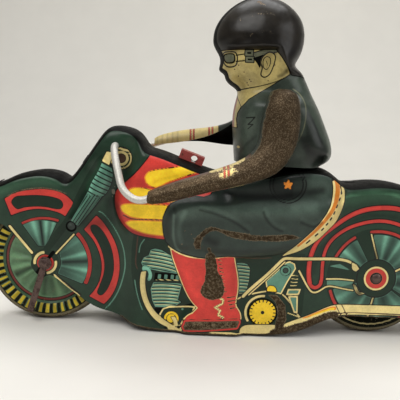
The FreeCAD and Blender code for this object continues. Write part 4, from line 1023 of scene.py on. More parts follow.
rider = {
    "steps": 3, "columns": 36, "rows": 281, "across": 201, "liningStep": 4,
    "front": [(1.6, 76.2), (1, 82), (0.4, 88), (0, 94), (0.3, 99), (1.2, 103.4), (1.3, 106.8),
              (-1.6, 109), (-3.9, 111.4), (-4.8, 113.6), (-6.9, 115.2), (-6.6, 118.2), (-7.3, 121.6),
              (-9.5, 125.2), (-10.1, 128.8), (-9.4, 132.8), (-7.2, 137), (-3.4, 141.2), (1.4, 144.4),
              (5.6, 146.1), (8.4, 146.8)],
    "back": [(39, 75.4), (43.4, 78.2), (44.2, 82.6), (42.8, 87.8), (40.4, 93.2), (37.8, 98.8), (35.2, 103.8),
             (32.8, 108.4), (30.6, 112.6), (28.4, 115.8), (26, 118), (26.4, 120), (27.8, 122.8),
             (28.8, 126), (29.2, 129.6), (28.8, 133.6), (27, 138), (23.4, 142), (18.8, 144.9),
             (14.2, 146.3), (11.2, 146.8)],
    "depths": [(76, 17.8), (88, 18.6), (100, 19.4), (107.5, 13.2), (124, 14), (147, 14)],
    "corners": [(76, 11), (100, 12), (109, 10), (118, 10), (129, 19), (147, 19)],
    "helmet": [(-14, 122.6), (-7.2, 122.8), (16.4, 123.8), (21.2, 115), (32, 113), (36, 150), (-16, 150)],
    "helmetDepth": 17.6, "helmetSlope": 2.2,
    # the row of poles by which the columns are spread, and the least cost of a row
    "costRow": 20, "leastCost": 0.2,
    # the tie: height of its middle, half its length and its reach from the seam; then the black front edge:
    # its lowest height and its width
    "tieMiddle": 98.5, "tieHalf": 7.5, "tieWidth": 0.5, "edgeFrom": 106.5, "edgeWidth": 1.35,
}


def riderSurface():
    front = curve(rider["front"], rider["steps"])
    back = curve(rider["back"], rider["steps"])
    seam = np.concatenate([front, back[::-1]])
    share = 0.5 - 0.5 * np.cos(math.pi * np.arange(rider["columns"] + 1) / rider["columns"])
    x = front[:, :1] + (back - front)[:, :1] * share
    z = front[:, 1:] + (back - front)[:, 1:] * share
    depth = along(rider["depths"], z)
    lift = smooth(insideDistance(x, z, rider["helmet"]) / rider["helmetSlope"] + 0.5)
    depth = depth + (rider["helmetDepth"] - depth) * lift
    inset = lineDistance(x, z, seam)
    inset[:, 0] = inset[:, -1] = 0.0
    y = -depth * corner(inset, along(rider["corners"], z), 2.0)
    y[-1] = 0.0
    poles = np.stack([x, y, z], axis=2)
    rowCosts = np.linalg.norm(np.diff(poles[:, rider["columns"] // 2], axis=0), axis=1) + rider["leastCost"]
    columnCosts = np.linalg.norm(np.diff(poles[rider["costRow"]], axis=0), axis=1)
    u = spread(rowCosts, rider["rows"], poles.shape[0] - 3)
    v = spread(columnCosts, rider["across"], poles.shape[1] - 3)
    return splineSurface(poles, u, v), front


# The jacket: a painted highlight down the back and the front, painted shade low down under the arm and at the
# small of the back, dark folds, and a pale line behind the arm.
def printJacket(p):
    p.glow([(34, 106), (38.6, 96), (41, 86)], 4.0, 0.35)
    p.glow([(26, 112), (31, 104), (32, 98)], 3.5, 0.30)
    p.glow([(4, 99), (8, 90), (6, 82)], 5.0, 0.15)
    p.glow([(10, 80), (16, 86), (30, 84)], 6.0, -0.25)
    p.shade(p.outline([(29.5, 98.5), (32, 94.4), (35.4, 89.4), (40, 83.4), (38, 78.5), (31.7, 78.3),
                       (29.1, 85.6)]), 3.0, -0.65)
    p.glow([(38, 96), (41.6, 86), (41, 80)], 2.4, 0.30)
    for fold in ([(31, 97), (35, 90), (37, 82)], [(9, 88), (5.4, 84), (3, 80)]):
        p.glow(fold, 1.1, -0.4)
    p.paint("cream", p.disc((2.6, 82.8), 0.55))
    # a pale line behind the arm, and painted shade in soft dark folds at the small of the back
    p.paint("teal", p.stroke([(24, 107.9), (27.4, 105.3), (28.8, 101.8), (29.1, 97.2), (28.6, 92.6),
                              (27.2, 88), (24.8, 83.3), (22.5, 79.6)], 0.6, 0.4))
    p.glow([(28.2, 88), (30.3, 84), (34.1, 81.4), (38.8, 81.2)], 2.4, -0.55)
    p.glow([(30.3, 97.3), (32.8, 94.2), (34.9, 90.2), (37.1, 86.1)], 1.4, -0.45)
    p.glow([(8, 102), (6, 95), (5, 88), (6, 81)], 4.5, 0.35)
    crease = [(5, 95.3), (8.3, 95.7), (7, 94), (5.7, 92.6), (7.7, 92.7), (5.8, 90.8)]
    p.paint("line", p.stroke(crease, 0.5, 0.4, 0))
    # painted shade along the bottom, where the torso meets the body
    p.glow([(4, 78), (20, 77), (38, 78)], 4.0, -0.45)


# Shirt, tie and collar. The tie follows the front seam.
def printShirt(p, frontInset):
    shirt = p.outline([(-2, 108), (1.2, 106.8), (2, 103), (2.8, 99.9), (1.5, 97.2), (1.2, 94.6), (1.6, 91),
                       (-3, 91)], 0)
    p.paint("black", shirt + 0.3)
    p.paint("cream", shirt)
    tie = np.minimum(rider["tieWidth"] - frontInset, rider["tieHalf"] - np.abs(p.z - rider["tieMiddle"]))
    p.paint("red", tie)
    collar = p.outline([(1.1, 107), (6, 107.9), (12.1, 109.3), (18, 111.2), (14.2, 108.7), (10.2, 106.2),
                        (5.7, 103.2), (2.9, 99.9), (1.9, 102.8)], 0)
    p.edged("cream", collar, 0.35)
    p.glow([(14, 109.4), (9, 106.6)], 1.4, -0.25)


# Face and neck, with a line under the jaw.
def printFace(p):
    face = p.outline([(-12, 123), (-2, 123), (8, 123.3), (16.2, 123.5), (18.4, 120.2), (21, 116.2),
                      (22.2, 114), (20.2, 112.5), (16.7, 110.8), (13.1, 109.5), (9, 108.4), (5.9, 107.8),
                      (1.3, 106.8), (-9, 106)], 0)
    p.edged("cream", face, 0.4)
    p.shade(face, 2.0, -0.12)
    p.glow([(0, 113), (2, 119)], 6.0, 0.12)
    # painted shade under the helmet's flap, behind the jaw
    p.glow([(17.6, 112.9), (19.6, 113.8), (21.4, 116.4)], 1.3, -0.6)
    p.paint("black", p.stroke([(1.3, 106.8), (5.9, 107.8), (9, 108.4), (13.1, 109.5), (16.7, 110.8),
                               (20.2, 112.6), (22.1, 114.1)], 0.32))


# Goggles: lens, strap, buckle and the strap's darker end.
def printGoggles(p):
    lens = p.outline([(-5.4, 121.6), (-3, 121.9), (-1, 121.6), (-0.2, 120), (-0.3, 117.4), (-1.4, 116.4),
                      (-3.8, 116.5), (-5.2, 118.6)], 3)
    p.edged("cream", lens, 0.6)
    p.paint("black", p.outline([(-5.2, 121.2), (-1.7, 121.3), (-0.9, 119.8), (-1.2, 117.8), (-3.8, 117.6),
                                (-5, 118.8)], 3) + 0.2)
    p.paint("teal", p.outline([(-4.9, 121), (-1.8, 121.1), (-1.2, 119.6), (-1.5, 118.2), (-3.7, 117.9),
                               (-4.8, 119)], 3))
    for ends in ([(-0.4, 120.7), (3.6, 121.3)], [(-0.3, 118.2), (3.8, 118.6)]):
        p.paint("black", p.stroke(ends, 0.5))
    strap = p.outline([(6, 121.4), (11, 123.1), (16, 123.6), (16.6, 122.8), (13.3, 122), (9.3, 120.7),
                       (6.2, 119.6)], 0)
    p.edged("teal", strap, 0.5)
    for a, b in (((3.2, 122.7), (6.3, 120.6)), ((3.6, 120.1), (6.8, 118.1))):
        box = p.outline([a, (b[0], a[1] + 0.1), b, (a[0], b[1])], 0)
        p.edged("teal", box, 0.5)
        p.paint("black", box - 0.7)
    p.paint("black", p.outline([(6.4, 119.7), (10.7, 121.3), (10.1, 118.1), (9.6, 115.7), (8, 118)], 0))


# The ear, and spots on the face.
def printEar(p):
    ear = [(13.2, 122.1), (15.3, 121), (15.2, 118.4), (14.6, 116.2), (13.6, 113.8), (11.8, 112.5),
           (10.4, 113.3), (10.8, 115.9), (10.1, 118.1), (10.8, 120.4)]
    p.edged("cream", p.outline(ear), 0.6)
    inner = p.outline([(11.2, 116.4), (10.9, 119), (12, 120.3), (13.4, 119.8), (13.5, 117.6), (12.4, 115.6)])
    p.edged("cream", inner, 0.45)
    p.paint("black", p.stroke([(12, 118.8), (12.6, 117.2), (12, 115.8)], 0.3, 0.2))
    for place in ((0.8, 116.7), (-0.7, 115.1), (1, 112.4), (5.7, 111.1), (4.8, 109.8), (6.3, 110.4),
                  (5.3, 108.9), (13.3, 110.9), (15.7, 117.3), (3.2, 114)):
        p.paint("brown", p.disc(place, 0.28))


# The helmet over the rest, a black pressed edge down the front, and scuffs.
def printHelmet(p, frontInset):
    helmet = p.outline([(-14, 123.2), (-7.4, 123), (-2.3, 123), (4.8, 123.1), (10.8, 123.3), (15.8, 123.6),
                        (18.4, 120.5), (21.6, 116), (23, 113.8), (32, 113), (36, 150), (-16, 150)], 0)
    p.paint("black", helmet + 0.3)
    p.paint("slate", helmet)
    # painted shade over the helmet's lower part and back, and a painted highlight over its top
    p.glow([(-6, 125), (4, 125.4), (14, 126), (22, 122)], 4.5, -0.45)
    p.glow([(6, 129), (14, 129)], 5.0, -0.40)
    p.glow([(-2, 137), (6, 140), (14, 140)], 6.0, 0.40)
    p.glow([(0, 133), (6, 135)], 3.5, 0.25)
    p.glow([(25, 126), (24, 118)], 3.0, -0.3)
    edge = cutOff(rider["edgeWidth"] - frontInset)
    p.paint("black", np.where(p.z > rider["edgeFrom"], edge, -farOff))
    p.rub([(7.7, 142.7), (9.9, 141.3)], 2.0, 0.5)
    for scuff in ([(0.9, 129.9), (3.7, 128.2), (6.3, 129.3), (10.3, 130.3), (14, 129.4)],
                  [(0.6, 134.5), (5.9, 136.4), (10.2, 137.4), (13.4, 137)]):
        p.rub(scuff, 2.6, 0.36)
    p.rub([(-4, 112.6), (-6, 115.4)], 0.8, 0.3)


def riderHalf(name, sign):
    points, front = riderSurface()
    p = Print(points[..., 0], points[..., 2])
    frontInset = lineDistance(p.x, p.z, front)
    printJacket(p)
    printShirt(p, frontInset)
    printFace(p)
    printGoggles(p)
    printEar(p)
    printHelmet(p, frontInset)
    half = closedSheet(name, mirrored(points, sign), tin, rider["liningStep"],
                       seam=("first", "last", "crown"))
    p.putOn(half)
    return half


# ---- arms: half pipes open towards the rider ----
# Stations run from the shoulder to the fist: upper edge, lower edge, distance of the open edge from the
# middle plane, the height of the arch over it, and the lean of the arch about the arm's own length.

arms = {
    "left": [
        ((17, 107.5), (22.2, 107.3), 18.2, 1.6, 0), ((14, 106), (25.2, 105.2), 18.8, 4.8, 0),
        ((12.2, 101.2), (26.7, 99.8), 19.7, 6.8, 0), ((10.9, 95.2), (27.1, 92.6), 19.8, 7.0, 0),
        ((10.3, 88.8), (25.8, 84.8), 20.4, 7.0, 0), ((9.2, 84.2), (22.2, 77.6), 21.8, 7.0, 0),
        ((6.2, 80.7), (16.4, 72.6), 24.0, 6.8, 0), ((1.4, 77.8), (8.4, 69.6), 26.2, 6.5, 0),
        ((-5.4, 75.2), (-2.4, 66.9), 28.4, 6.2, 0), ((-13, 72.6), (-12, 64.6), 30.2, 5.8, 0),
        ((-20.6, 70.2), (-20.6, 62.2), 31.5, 5.5, 0), ((-26.2, 68.2), (-27, 60.6), 31.9, 5.1, 0),
        ((-30.6, 66.4), (-31.4, 60), 32.0, 4.5, 0), ((-33.4, 65), (-33.8, 60.2), 32.0, 3.3, 0)],
    "right": [
        ((17, 107.6), (21.6, 106.6), 18.2, 1.6, 0), ((12.8, 105.8), (24.4, 102.4), 19.2, 5.0, 0),
        ((9.2, 103), (24, 95.4), 20.0, 6.8, 0), ((5.6, 98.4), (19.6, 88.2), 22.0, 7.0, 10),
        ((1.2, 94.4), (12, 81.8), 23.8, 6.8, 32), ((-5.2, 91.6), (1.2, 78.6), 26.6, 6.4, 54),
        ((-13.2, 89), (-9.6, 78.4), 29.4, 6.0, 74), ((-21, 86.4), (-19.4, 78.4), 31.8, 5.8, 86),
        ((-28, 84.8), (-27.4, 77.6), 33.4, 5.4, 90), ((-33.6, 83.3), (-33.4, 77.5), 33.7, 4.5, 90),
        ((-37, 82.1), (-36.8, 77.9), 33.7, 3.0, 90)],
    "steps": 3, "columns": 14, "rows": 241, "across": 97, "liningStep": 4,
    # where the cuff starts and the stripes lie at the top height, and the gap between the two of a pair
    "stripes": {"left": {"cuff": 4.0, "at": [-6.0, -17.0]}, "right": {"cuff": -7.5, "at": [-11.4, -20.6]}},
    "stripeGap": 1.6, "top": 120, "foot": 60, "grooves": 5,
    # the worn left cuff keeps its stripe near x = keptAt
    "wear": 0.84, "keptAt": -2.5,
}


# Each section is half an ellipse, -half cos t along the section and height sin t outwards for t from 0 to
# pi, turned by the lean.
def armSurface(stations):
    upper = curve([s[0] for s in stations], arms["steps"])
    lower = curve([s[1] for s in stations], arms["steps"])
    sizes = curve([s[2:] for s in stations], arms["steps"])
    turn = math.pi * np.arange(arms["columns"] + 1) / arms["columns"]
    across = lower - upper
    length = np.linalg.norm(across, axis=1, keepdims=True)
    across = across / length
    tilt = np.radians(sizes[:, 2:])
    down, out = -length / 2 * np.cos(turn), sizes[:, 1:2] * np.sin(turn)
    offset = down * np.cos(tilt) - out * np.sin(tilt)
    middle = (upper + lower) / 2
    x = middle[:, :1] + across[:, :1] * offset
    z = middle[:, 1:] + across[:, 1:] * offset
    y = -sizes[:, :1] - out * np.cos(tilt) - down * np.sin(tilt)
    poles = np.stack([x, y, z], axis=2)
    lengths = np.linalg.norm(np.diff(middle, axis=0), axis=1)
    u = spread(lengths, arms["rows"], poles.shape[0] - 3)
    v = np.linspace(0, poles.shape[1] - 3, arms["across"])
    return splineSurface(poles, u, v)


# Sleeve, then a cream gauntlet with two double red stripes and grooves near the fist; the left one is worn
# brown but for traces. Across runs from -1 at the upper edge to 1 at the lower one.
def printArm(points, side):
    p = Print(points[..., 0], points[..., 2])
    across = np.linspace(-1, 1, p.x.shape[1])[None, :] * np.ones_like(p.x)
    top, foot = arms["top"], arms["foot"]
    start, places = arms["stripes"][side]["cuff"], arms["stripes"][side]["at"]
    cuff = p.outline([(start, top), (start + 4, foot), (-60, foot), (-60, top)], 0)
    p.edged("cream", cuff, 0.4)
    for at in places:
        for x in (at, at + arms["stripeGap"]):
            p.edged("red", p.stroke([(x, top), (x + 3, foot)], 0.8), 0.15, "brown")
    for k in range(arms["grooves"]):
        p.glow([(-36.0 + 2.6 * k, 90), (-34.5 + 2.6 * k, foot)], 0.8, -0.25)
    edges = smooth((np.abs(across) - 0.6) / 0.4)
    if side == "left":
        off = p.x - arms["keptAt"]
        p.paint("brown", np.minimum(cuff, np.abs(off) - 7.0))
        p.paint("red", np.minimum(across - 0.72, -2.0 - p.x))
        kept = np.exp(-(off / 4.5) ** 2 - ((across + 0.35) / 0.4) ** 2)
        p.wear = arms["wear"] - 0.62 * edges - 0.55 * kept
        # painted highlight along the left arm's upper side, fading out towards the shoulder, and painted
        # shade towards its lower edge
        lit = np.exp(-((across + 0.5) / 0.3) ** 2) * smooth((14.0 - p.x) / 10.0)
        p.gain = (1 - 0.35 * smooth((across - 0.1) / 0.7)) * (1 + 1.1 * lit)
    else:
        # painted shade towards both edges of the right arm
        p.gain *= 1 - 0.35 * edges
        p.wear = np.full(p.x.shape, 0.22)
    return p


def armPiece(name, side, sign):
    points = mirrored(armSurface(arms[side]), sign)
    arm = closedSheet(name, points, tin, arms["liningStep"])
    printArm(points, side).putOn(arm)
    return arm


# ---- wheels ----
# Radius and distance from the middle plane, as in the part, with the spokes and the tread pressed in.

wheel = {
    "profile": [(2.7, 6.3), (5.2, 6.3), (6.6, 5.3), (12, 4.6), (17.6, 3.9), (20, 4.4), (22.2, 5.8),
                (24.8, 6.2), (26.9, 5), (27.8, 2.7), (28, 0)],
    "turns": 512, "rings": 105, "liningStep": 4, "spokes": 20, "blocks": 44,
    # heights of the spokes and blocks; each zone runs from a first to a last radius, with soft ends
    "spokeHeight": 0.35, "blockHeight": 0.3, "spokeZone": (7, 3, 18, 2), "blockZone": (20.4, 0.6, 25.4, 0.8),
    "treadZone": (20, 2, 26, 2), "printZone": (6.6, 2, 18.4, 1.5),
    # radii of the printed rings
    "redRing": 18.9, "baseRing": 20.1, "creamRing": 23.4, "rimRing": 24.9, "hubPrint": 6.6, "hubRed": 4.6,
}


# 1 between two radii, going softly to 0 inside the first and outside the last.
def zone(r, name):
    first, rise, last, fall = wheel[name]
    return smooth((r - first) / rise) * smooth((last - r) / fall)


def wheelSurface(hub):
    profile = curve(wheel["profile"], 4)
    lengths = np.linalg.norm(np.diff(profile, axis=0), axis=1)
    total = np.concatenate([[0.0], np.cumsum(lengths)])
    at = np.linspace(0, total[-1], wheel["rings"])
    r, y = np.interp(at, total, profile[:, 0]), np.interp(at, total, profile[:, 1])
    turn = np.linspace(0, 2 * math.pi, wheel["turns"], endpoint=False)[:, None]
    spokes = wheel["spokeHeight"] * (np.cos(wheel["spokes"] * turn) - 1) * zone(r, "spokeZone")
    blocks = smooth(np.cos(wheel["blocks"] * turn) * 2 + 0.5) * zone(r, "blockZone") - zone(r, "treadZone")
    y = np.minimum(y + spokes + wheel["blockHeight"] * blocks, y * np.ones_like(turn))
    x, z = hub[0] + r * np.cos(turn), hub[1] + r * np.sin(turn)
    return np.stack([x, -y * np.ones_like(x), z], axis=2), r * np.ones_like(turn), turn * np.ones_like(r)


# Soft green blotches round the hub, a red ring, and a tread of uneven yellow bars; the rear one is darker.
def printWheel(points, hub, r, turn):
    p = Print(points[..., 0], points[..., 2])
    first, rise, last, fall = wheel["printZone"]
    p.paint("teal", np.minimum(r - first, last - r))
    soft = 0.35 * np.sin(3 * turn + 0.6) * np.cos(5 * turn) + 0.16 * np.cos(wheel["spokes"] * turn)
    p.gain *= 1 + zone(r, "printZone") * (soft + 0.25 * np.sin(13 * turn + 2 * np.sin(2 * turn)) - 0.1)
    p.edged("red", p.circle(hub, wheel["redRing"], 0.9), 0.4)
    p.paint("base", p.circle(hub, wheel["baseRing"], 0.9))
    block = np.cos(wheel["blocks"] * turn + 0.6 * np.sin(7 * turn))
    tread = np.minimum(r - 20.7, 24.8 - r)
    if hub == frontHub:
        p.paint("yellow", tread)
        p.paint("base", np.minimum(tread, (0.35 + 0.3 * np.sin(9 * turn) - block) * 0.9))
        p.paint("black", np.minimum(tread, (-0.35 - block) * 0.9))
        p.gain *= 1 + 0.22 * np.sin(23 * turn) * smooth(tread)
    else:
        p.paint("black", tread)
        p.paint("cream", p.circle(hub, wheel["creamRing"], 0.8))
        p.lines(np.minimum(r - 24.6, 26.0 - r), 60 * turn / (2 * math.pi))
    p.paint("brown", r - 24.8)
    p.paint("black", p.circle(hub, wheel["rimRing"], 0.5))
    p.paint("black", wheel["hubPrint"] - r)
    p.paint("red", wheel["hubRed"] - r)
    p.wear = 0.30 + 0.4 * smooth((r - 25.2) / 1.6)
    return p


def wheelHalf(name, hub, sign):
    points, r, turn = wheelSurface(hub)
    points = mirrored(points, sign)
    half = closedSheet(name, points, tin, wheel["liningStep"], wraps=True, seam=("last",))
    printWheel(points, hub, r, turn).putOn(half)
    return half


# ---- wire, spring and smooth copies of the plain nodes ----

handlebar = {
    "radius": 1.5, "share": 0.45, "sides": 28, "arcPoints": 14,
    "route": [(-27.5, -33.6, 64.9), (-37.0, -33.6, 60.6), (-43.8, -31.0, 64.6), (-47.4, -25.0, 75.0),
              (-49.8, -17.0, 81.2), (-49.8, 17.0, 81.2), (-46.6, 26.5, 79.6), (-40.6, 33.4, 79.0),
              (-30.5, 33.6, 82.2)],
}


# Straight runs joined by arcs: each arc turns from one run's direction to the next's about a centre
# on their bisector, and starts at a share of the shorter run from the corner.
def bentPath(points, share, arcPoints):
    points = [np.array(p) for p in points]
    path = [points[0]]
    for before, at, after in zip(points, points[1:], points[2:]):
        one, two = before - at, after - at
        room = share * min(np.linalg.norm(one), np.linalg.norm(two))
        one, two = one / np.linalg.norm(one), two / np.linalg.norm(two)
        halfTurn = math.acos(np.clip(one.dot(two), -1, 1)) / 2
        bisector = (one + two) / np.linalg.norm(one + two)
        centre = at + bisector * (room / math.cos(halfTurn))
        start, end = at + one * room - centre, at + two * room - centre
        angle = math.acos(np.clip(start.dot(end) / start.dot(start), -1, 1))
        for t in np.linspace(0, 1, arcPoints):
            arm = start * math.sin((1 - t) * angle) + end * math.sin(t * angle)
            path.append(centre + arm / math.sin(angle))
    path.append(points[-1])
    return path


def handlebarPiece():
    path = bentPath(handlebar["route"], handlebar["share"], handlebar["arcPoints"])
    return tubeMesh("handlebarWire", path, handlebar["radius"], handlebar["sides"])


mainspring = {"centre": (14, 42), "first": 5.0, "last": 13.6, "turns": 9, "strip": 0.35,
              "edges": (-7.6, -0.8), "perTurn": 72}


# The strip's middle runs out evenly: radius = first + (last - first) * share of the turns.
def mainspringPiece():
    s = mainspring
    count = s["turns"] * s["perTurn"] + 1
    share = np.linspace(0, 1, count)
    turn = 2 * math.pi * s["turns"] * share
    sections = []
    for shift, y in ((-1, s["edges"][0]), (1, s["edges"][0]), (1, s["edges"][1]), (-1, s["edges"][1])):
        r = s["first"] + (s["last"] - s["first"]) * share + shift * s["strip"] / 2
        sections.append(np.stack([s["centre"][0] + r * np.cos(turn), np.full(count, y),
                                  s["centre"][1] + r * np.sin(turn)], axis=1))
    points = np.stack(sections, axis=1)
    number = gridNumbers(count, 4, wrapColumns=True)
    ends = np.array([number[0, :4], number[-1, 3::-1]])
    return makeMesh("mainspringStrip", points.reshape(-1, 3), [quads(number), ends], [True, False],
                    number.T[:4])


sharpAngle = math.radians(35)


# A plain node's mesh with its doubles merged, smooth across faces that meet under the sharp angle.
def smoothCopy(node, name):
    mesh = frame["nodes"][node].data.copy()
    work = bmesh.new()
    work.from_mesh(mesh)
    bmesh.ops.remove_doubles(work, verts=work.verts, dist=2e-6)
    for face in work.faces:
        face.smooth = True
    for edge in work.edges:
        edge.smooth = len(edge.link_faces) == 2 and edge.calc_face_angle(math.pi) < sharpAngle
    work.to_mesh(mesh)
    work.free()
    mesh.materials.clear()
    obj = bpy.data.objects.new(name, mesh)
    bpy.context.scene.collection.objects.link(obj)
    return obj


# ---- materials ----

def srgb(red, green, blue):
    shares = (c / 255 for c in (red, green, blue))
    return (*(c / 12.92 if c <= 0.04 else ((c + 0.055) / 1.055) ** 2.4 for c in shares), 1.0)


class Shader:
    def __init__(self, name):
        self.material = bpy.data.materials.new(name)
        self.material.use_nodes = True
        self.tree = self.material.node_tree
        self.tree.nodes.clear()
        self.place = self.add("ShaderNodeTexCoord").outputs["Object"]
        self.surface = self.add("ShaderNodeBsdfPrincipled")
        output = self.add("ShaderNodeOutputMaterial")
        self.tree.links.new(self.surface.outputs["BSDF"], output.inputs["Surface"])

    def add(self, kind, **settings):
        node = self.tree.nodes.new(kind)
        for key, value in settings.items():
            setattr(node, key, value)
        return node

    # Sets an input to a socket's output, or to a plain value.
    def put(self, socket, value):
        if isinstance(value, bpy.types.NodeSocket):
            self.tree.links.new(value, socket)
        else:
            socket.default_value = value

    def math(self, operation, first, second=0.0):
        node = self.add("ShaderNodeMath", operation=operation)
        for socket, value in zip(node.inputs, (first, second)):
            self.put(socket, value)
        return node.outputs[0]

    def times(self, first, second):
        return self.math("MULTIPLY", first, second)

    # One less a value.
    def rest(self, value):
        return self.math("SUBTRACT", 1.0, value)

    def ramp(self, value, low, high, bottom=0.0, top=1.0):
        node = self.add("ShaderNodeMapRange", interpolation_type="SMOOTHSTEP")
        for socket, v in zip(node.inputs, (value, low, high, bottom, top)):
            self.put(socket, v)
        return node.outputs[0]

    def mix(self, share, first, second, blend="MIX"):
        node = self.add("ShaderNodeMix", data_type="RGBA", blend_type=blend)
        self.put(node.inputs["Factor"], share)
        self.put(node.inputs[6], first)
        self.put(node.inputs[7], second)
        return node.outputs[2]

    # Noise with features about size millimetres wide, on Object coordinates.
    def noise(self, size, detail=3.0, rough=0.55):
        node = self.add("ShaderNodeTexNoise")
        self.put(node.inputs["Vector"], self.place)
        node.inputs["Scale"].default_value = 1000.0 / size
        node.inputs["Detail"].default_value = detail
        node.inputs["Roughness"].default_value = rough
        return node.outputs["Fac"]

    def attribute(self, name):
        return self.add("ShaderNodeAttribute", attribute_name=name).outputs["Fac"]

    def scale(self, colour, factor):
        node = self.add("ShaderNodeVectorMath", operation="SCALE")
        self.put(node.inputs[0], colour)
        self.put(node.inputs["Scale"], factor)
        return node.outputs[0]

    def bump(self, height, distance):
        node = self.add("ShaderNodeBump")
        node.inputs["Strength"].default_value = 1.0
        node.inputs["Distance"].default_value = distance * mm
        self.put(node.inputs["Height"], height)
        return node.outputs[0]

    def finish(self, **inputs):
        for name, value in inputs.items():
            self.put(self.surface.inputs[name.replace("_", " ")], value)
        return self.material


# Noise in the edges of the ink, and half the width over which an edge goes soft, in millimetres.
inkJitter, inkEdge = 0.14, 0.07


# Printed tin: the inks laid over a base colour, varnished, with worn places down to dull brown metal.
def lithoMaterial(name, palette, wornDark, wornLight, insideColour, speck=0.9, paleShare=0.45,
                  speckShare=0.45, mottle=0.11):
    s = Shader(name)
    jitter = s.times(s.math("SUBTRACT", s.noise(0.5, 2.0), 0.5), inkJitter)
    colour = palette["base"]
    for ink in inkOrder:
        plate = s.math("ADD", s.attribute(ink), jitter)
        share = s.ramp(plate, -inkEdge, inkEdge)
        colour = s.mix(share, colour, palette[ink])
    # the last ink is black enamel, which has no varnish over it
    enamel = share

    # fine lines: a dark one about each whole step of the phase, and a thin pale one under it
    step = s.math("FRACT", s.attribute("phase"))
    hatch = s.ramp(s.attribute("hatch"), -0.05, 0.1)
    fromLine = s.math("ABSOLUTE", s.math("SUBTRACT", step, 0.5))
    fromPale = s.math("ABSOLUTE", s.math("SUBTRACT", step, 0.66))
    dark = s.times(s.ramp(fromLine, 0.31, 0.39), hatch)
    pale = s.times(s.ramp(fromPale, 0.10, 0.04), hatch)
    # phases under -20 mark lines without the pale one
    pale = s.times(pale, s.math("GREATER_THAN", s.attribute("phase"), -20.0))
    colour = s.mix(s.times(pale, 0.75), colour, palette["cream"])
    colour = s.mix(dark, colour, palette["line"])

    # the gain carries the printed tones and the painted highlights and painted shade
    colour = s.scale(colour, s.attribute("gain"))
    ageing = s.ramp(s.noise(6.0, 5.0, 0.65), 0.34, 0.66, 1 - mottle, 1 + mottle)
    grain = s.ramp(s.noise(0.7, 3.0), 0.25, 0.8, 0.92, 1.06)
    colour = s.scale(colour, s.times(ageing, grain))
    dirt = s.ramp(s.noise(3.0, 5.0, 0.7), 0.62, 0.78, 0.0, 0.30)
    colour = s.mix(dirt, colour, srgb(58, 50, 38))

    # worn places: the wear plate broken up by coarse and fine noise, pale at the edge and brown within
    broken = s.math("ADD", s.times(s.noise(2.2, 5.0, 0.65), 0.75), s.times(s.noise(0.55, 3.0, 0.7), 0.45))
    level = s.math("ADD", s.attribute("wear"), broken)
    worn = s.ramp(level, 1.02, 1.12)
    chips = s.ramp(s.noise(1.3, 2.0, 0.4), 0.83, 0.86, 0.0, 0.7)
    worn = s.math("MAXIMUM", worn, chips)
    core = s.ramp(level, 1.06, 1.24)
    specks = s.ramp(s.noise(speck, 4.0, 0.7), paleShare, paleShare + 0.2)
    metal = s.mix(s.times(core, s.rest(s.times(specks, speckShare))), wornLight, wornDark)
    # the worn metal takes the gain too, with its painted highlights and painted shade
    metal = s.scale(metal, s.math("POWER", s.attribute("gain"), 0.6))
    metal = s.scale(metal, s.ramp(s.noise(4.0, 3.0), 0.35, 0.7, 1.08, 0.72))
    colour = s.mix(worn, colour, metal)

    inside = s.ramp(s.attribute("inside"), 0.45, 0.55)
    lining = s.scale(insideColour[:3], s.ramp(s.noise(5.0, 4.0), 0.3, 0.7, 0.6, 1.0))
    colour = s.mix(inside, colour, lining)
    bare = s.math("MAXIMUM", worn, inside)
    rough = s.ramp(s.noise(2.0, 4.0), 0.3, 0.7, 0.28, 0.42)
    dull = s.math("MAXIMUM", bare, enamel)
    gloss = s.rest(dull)
    rough = s.math("ADD", rough, s.times(dull, 0.18))
    height = s.math("SUBTRACT", s.times(s.noise(0.8, 3.0), 0.35), s.times(worn, 0.6))
    return s.finish(Base_Color=colour, Metallic=s.times(bare, 0.45), Roughness=rough,
                    Specular_IOR_Level=s.ramp(gloss, 0.0, 1.0, 0.05, 0.26),
                    Coat_Weight=s.times(gloss, 0.10), Coat_Roughness=0.18, Normal=s.bump(height, 0.05))


# Bare or painted metal with blotches, fine scratches and a second colour where it has aged.
def metalMaterial(name, colour, aged, agedShare, rough, metallic=1.0):
    s = Shader(name)
    share = s.math("ADD", s.noise(2.5, 5.0, 0.65), s.times(s.noise(0.6, 3.0), 0.35))
    old = s.ramp(share, 0.93 - agedShare * 0.6, 1.03 - agedShare * 0.6)
    fine = s.ramp(s.noise(0.45, 3.0), 0.3, 0.75, 0.82, 1.08)
    mixed = s.scale(s.mix(old, colour, aged), fine)
    roughness = s.math("ADD", s.ramp(s.noise(1.2, 4.0), 0.3, 0.7, rough - 0.05, rough + 0.08),
                       s.times(old, 0.22))
    height = s.math("ADD", s.times(s.noise(0.5, 3.0), 0.5), s.times(old, 0.5))
    return s.finish(Base_Color=mixed, Metallic=s.math("SUBTRACT", metallic, s.times(old, metallic * 0.6)),
                    Roughness=roughness, Normal=s.bump(height, 0.03))


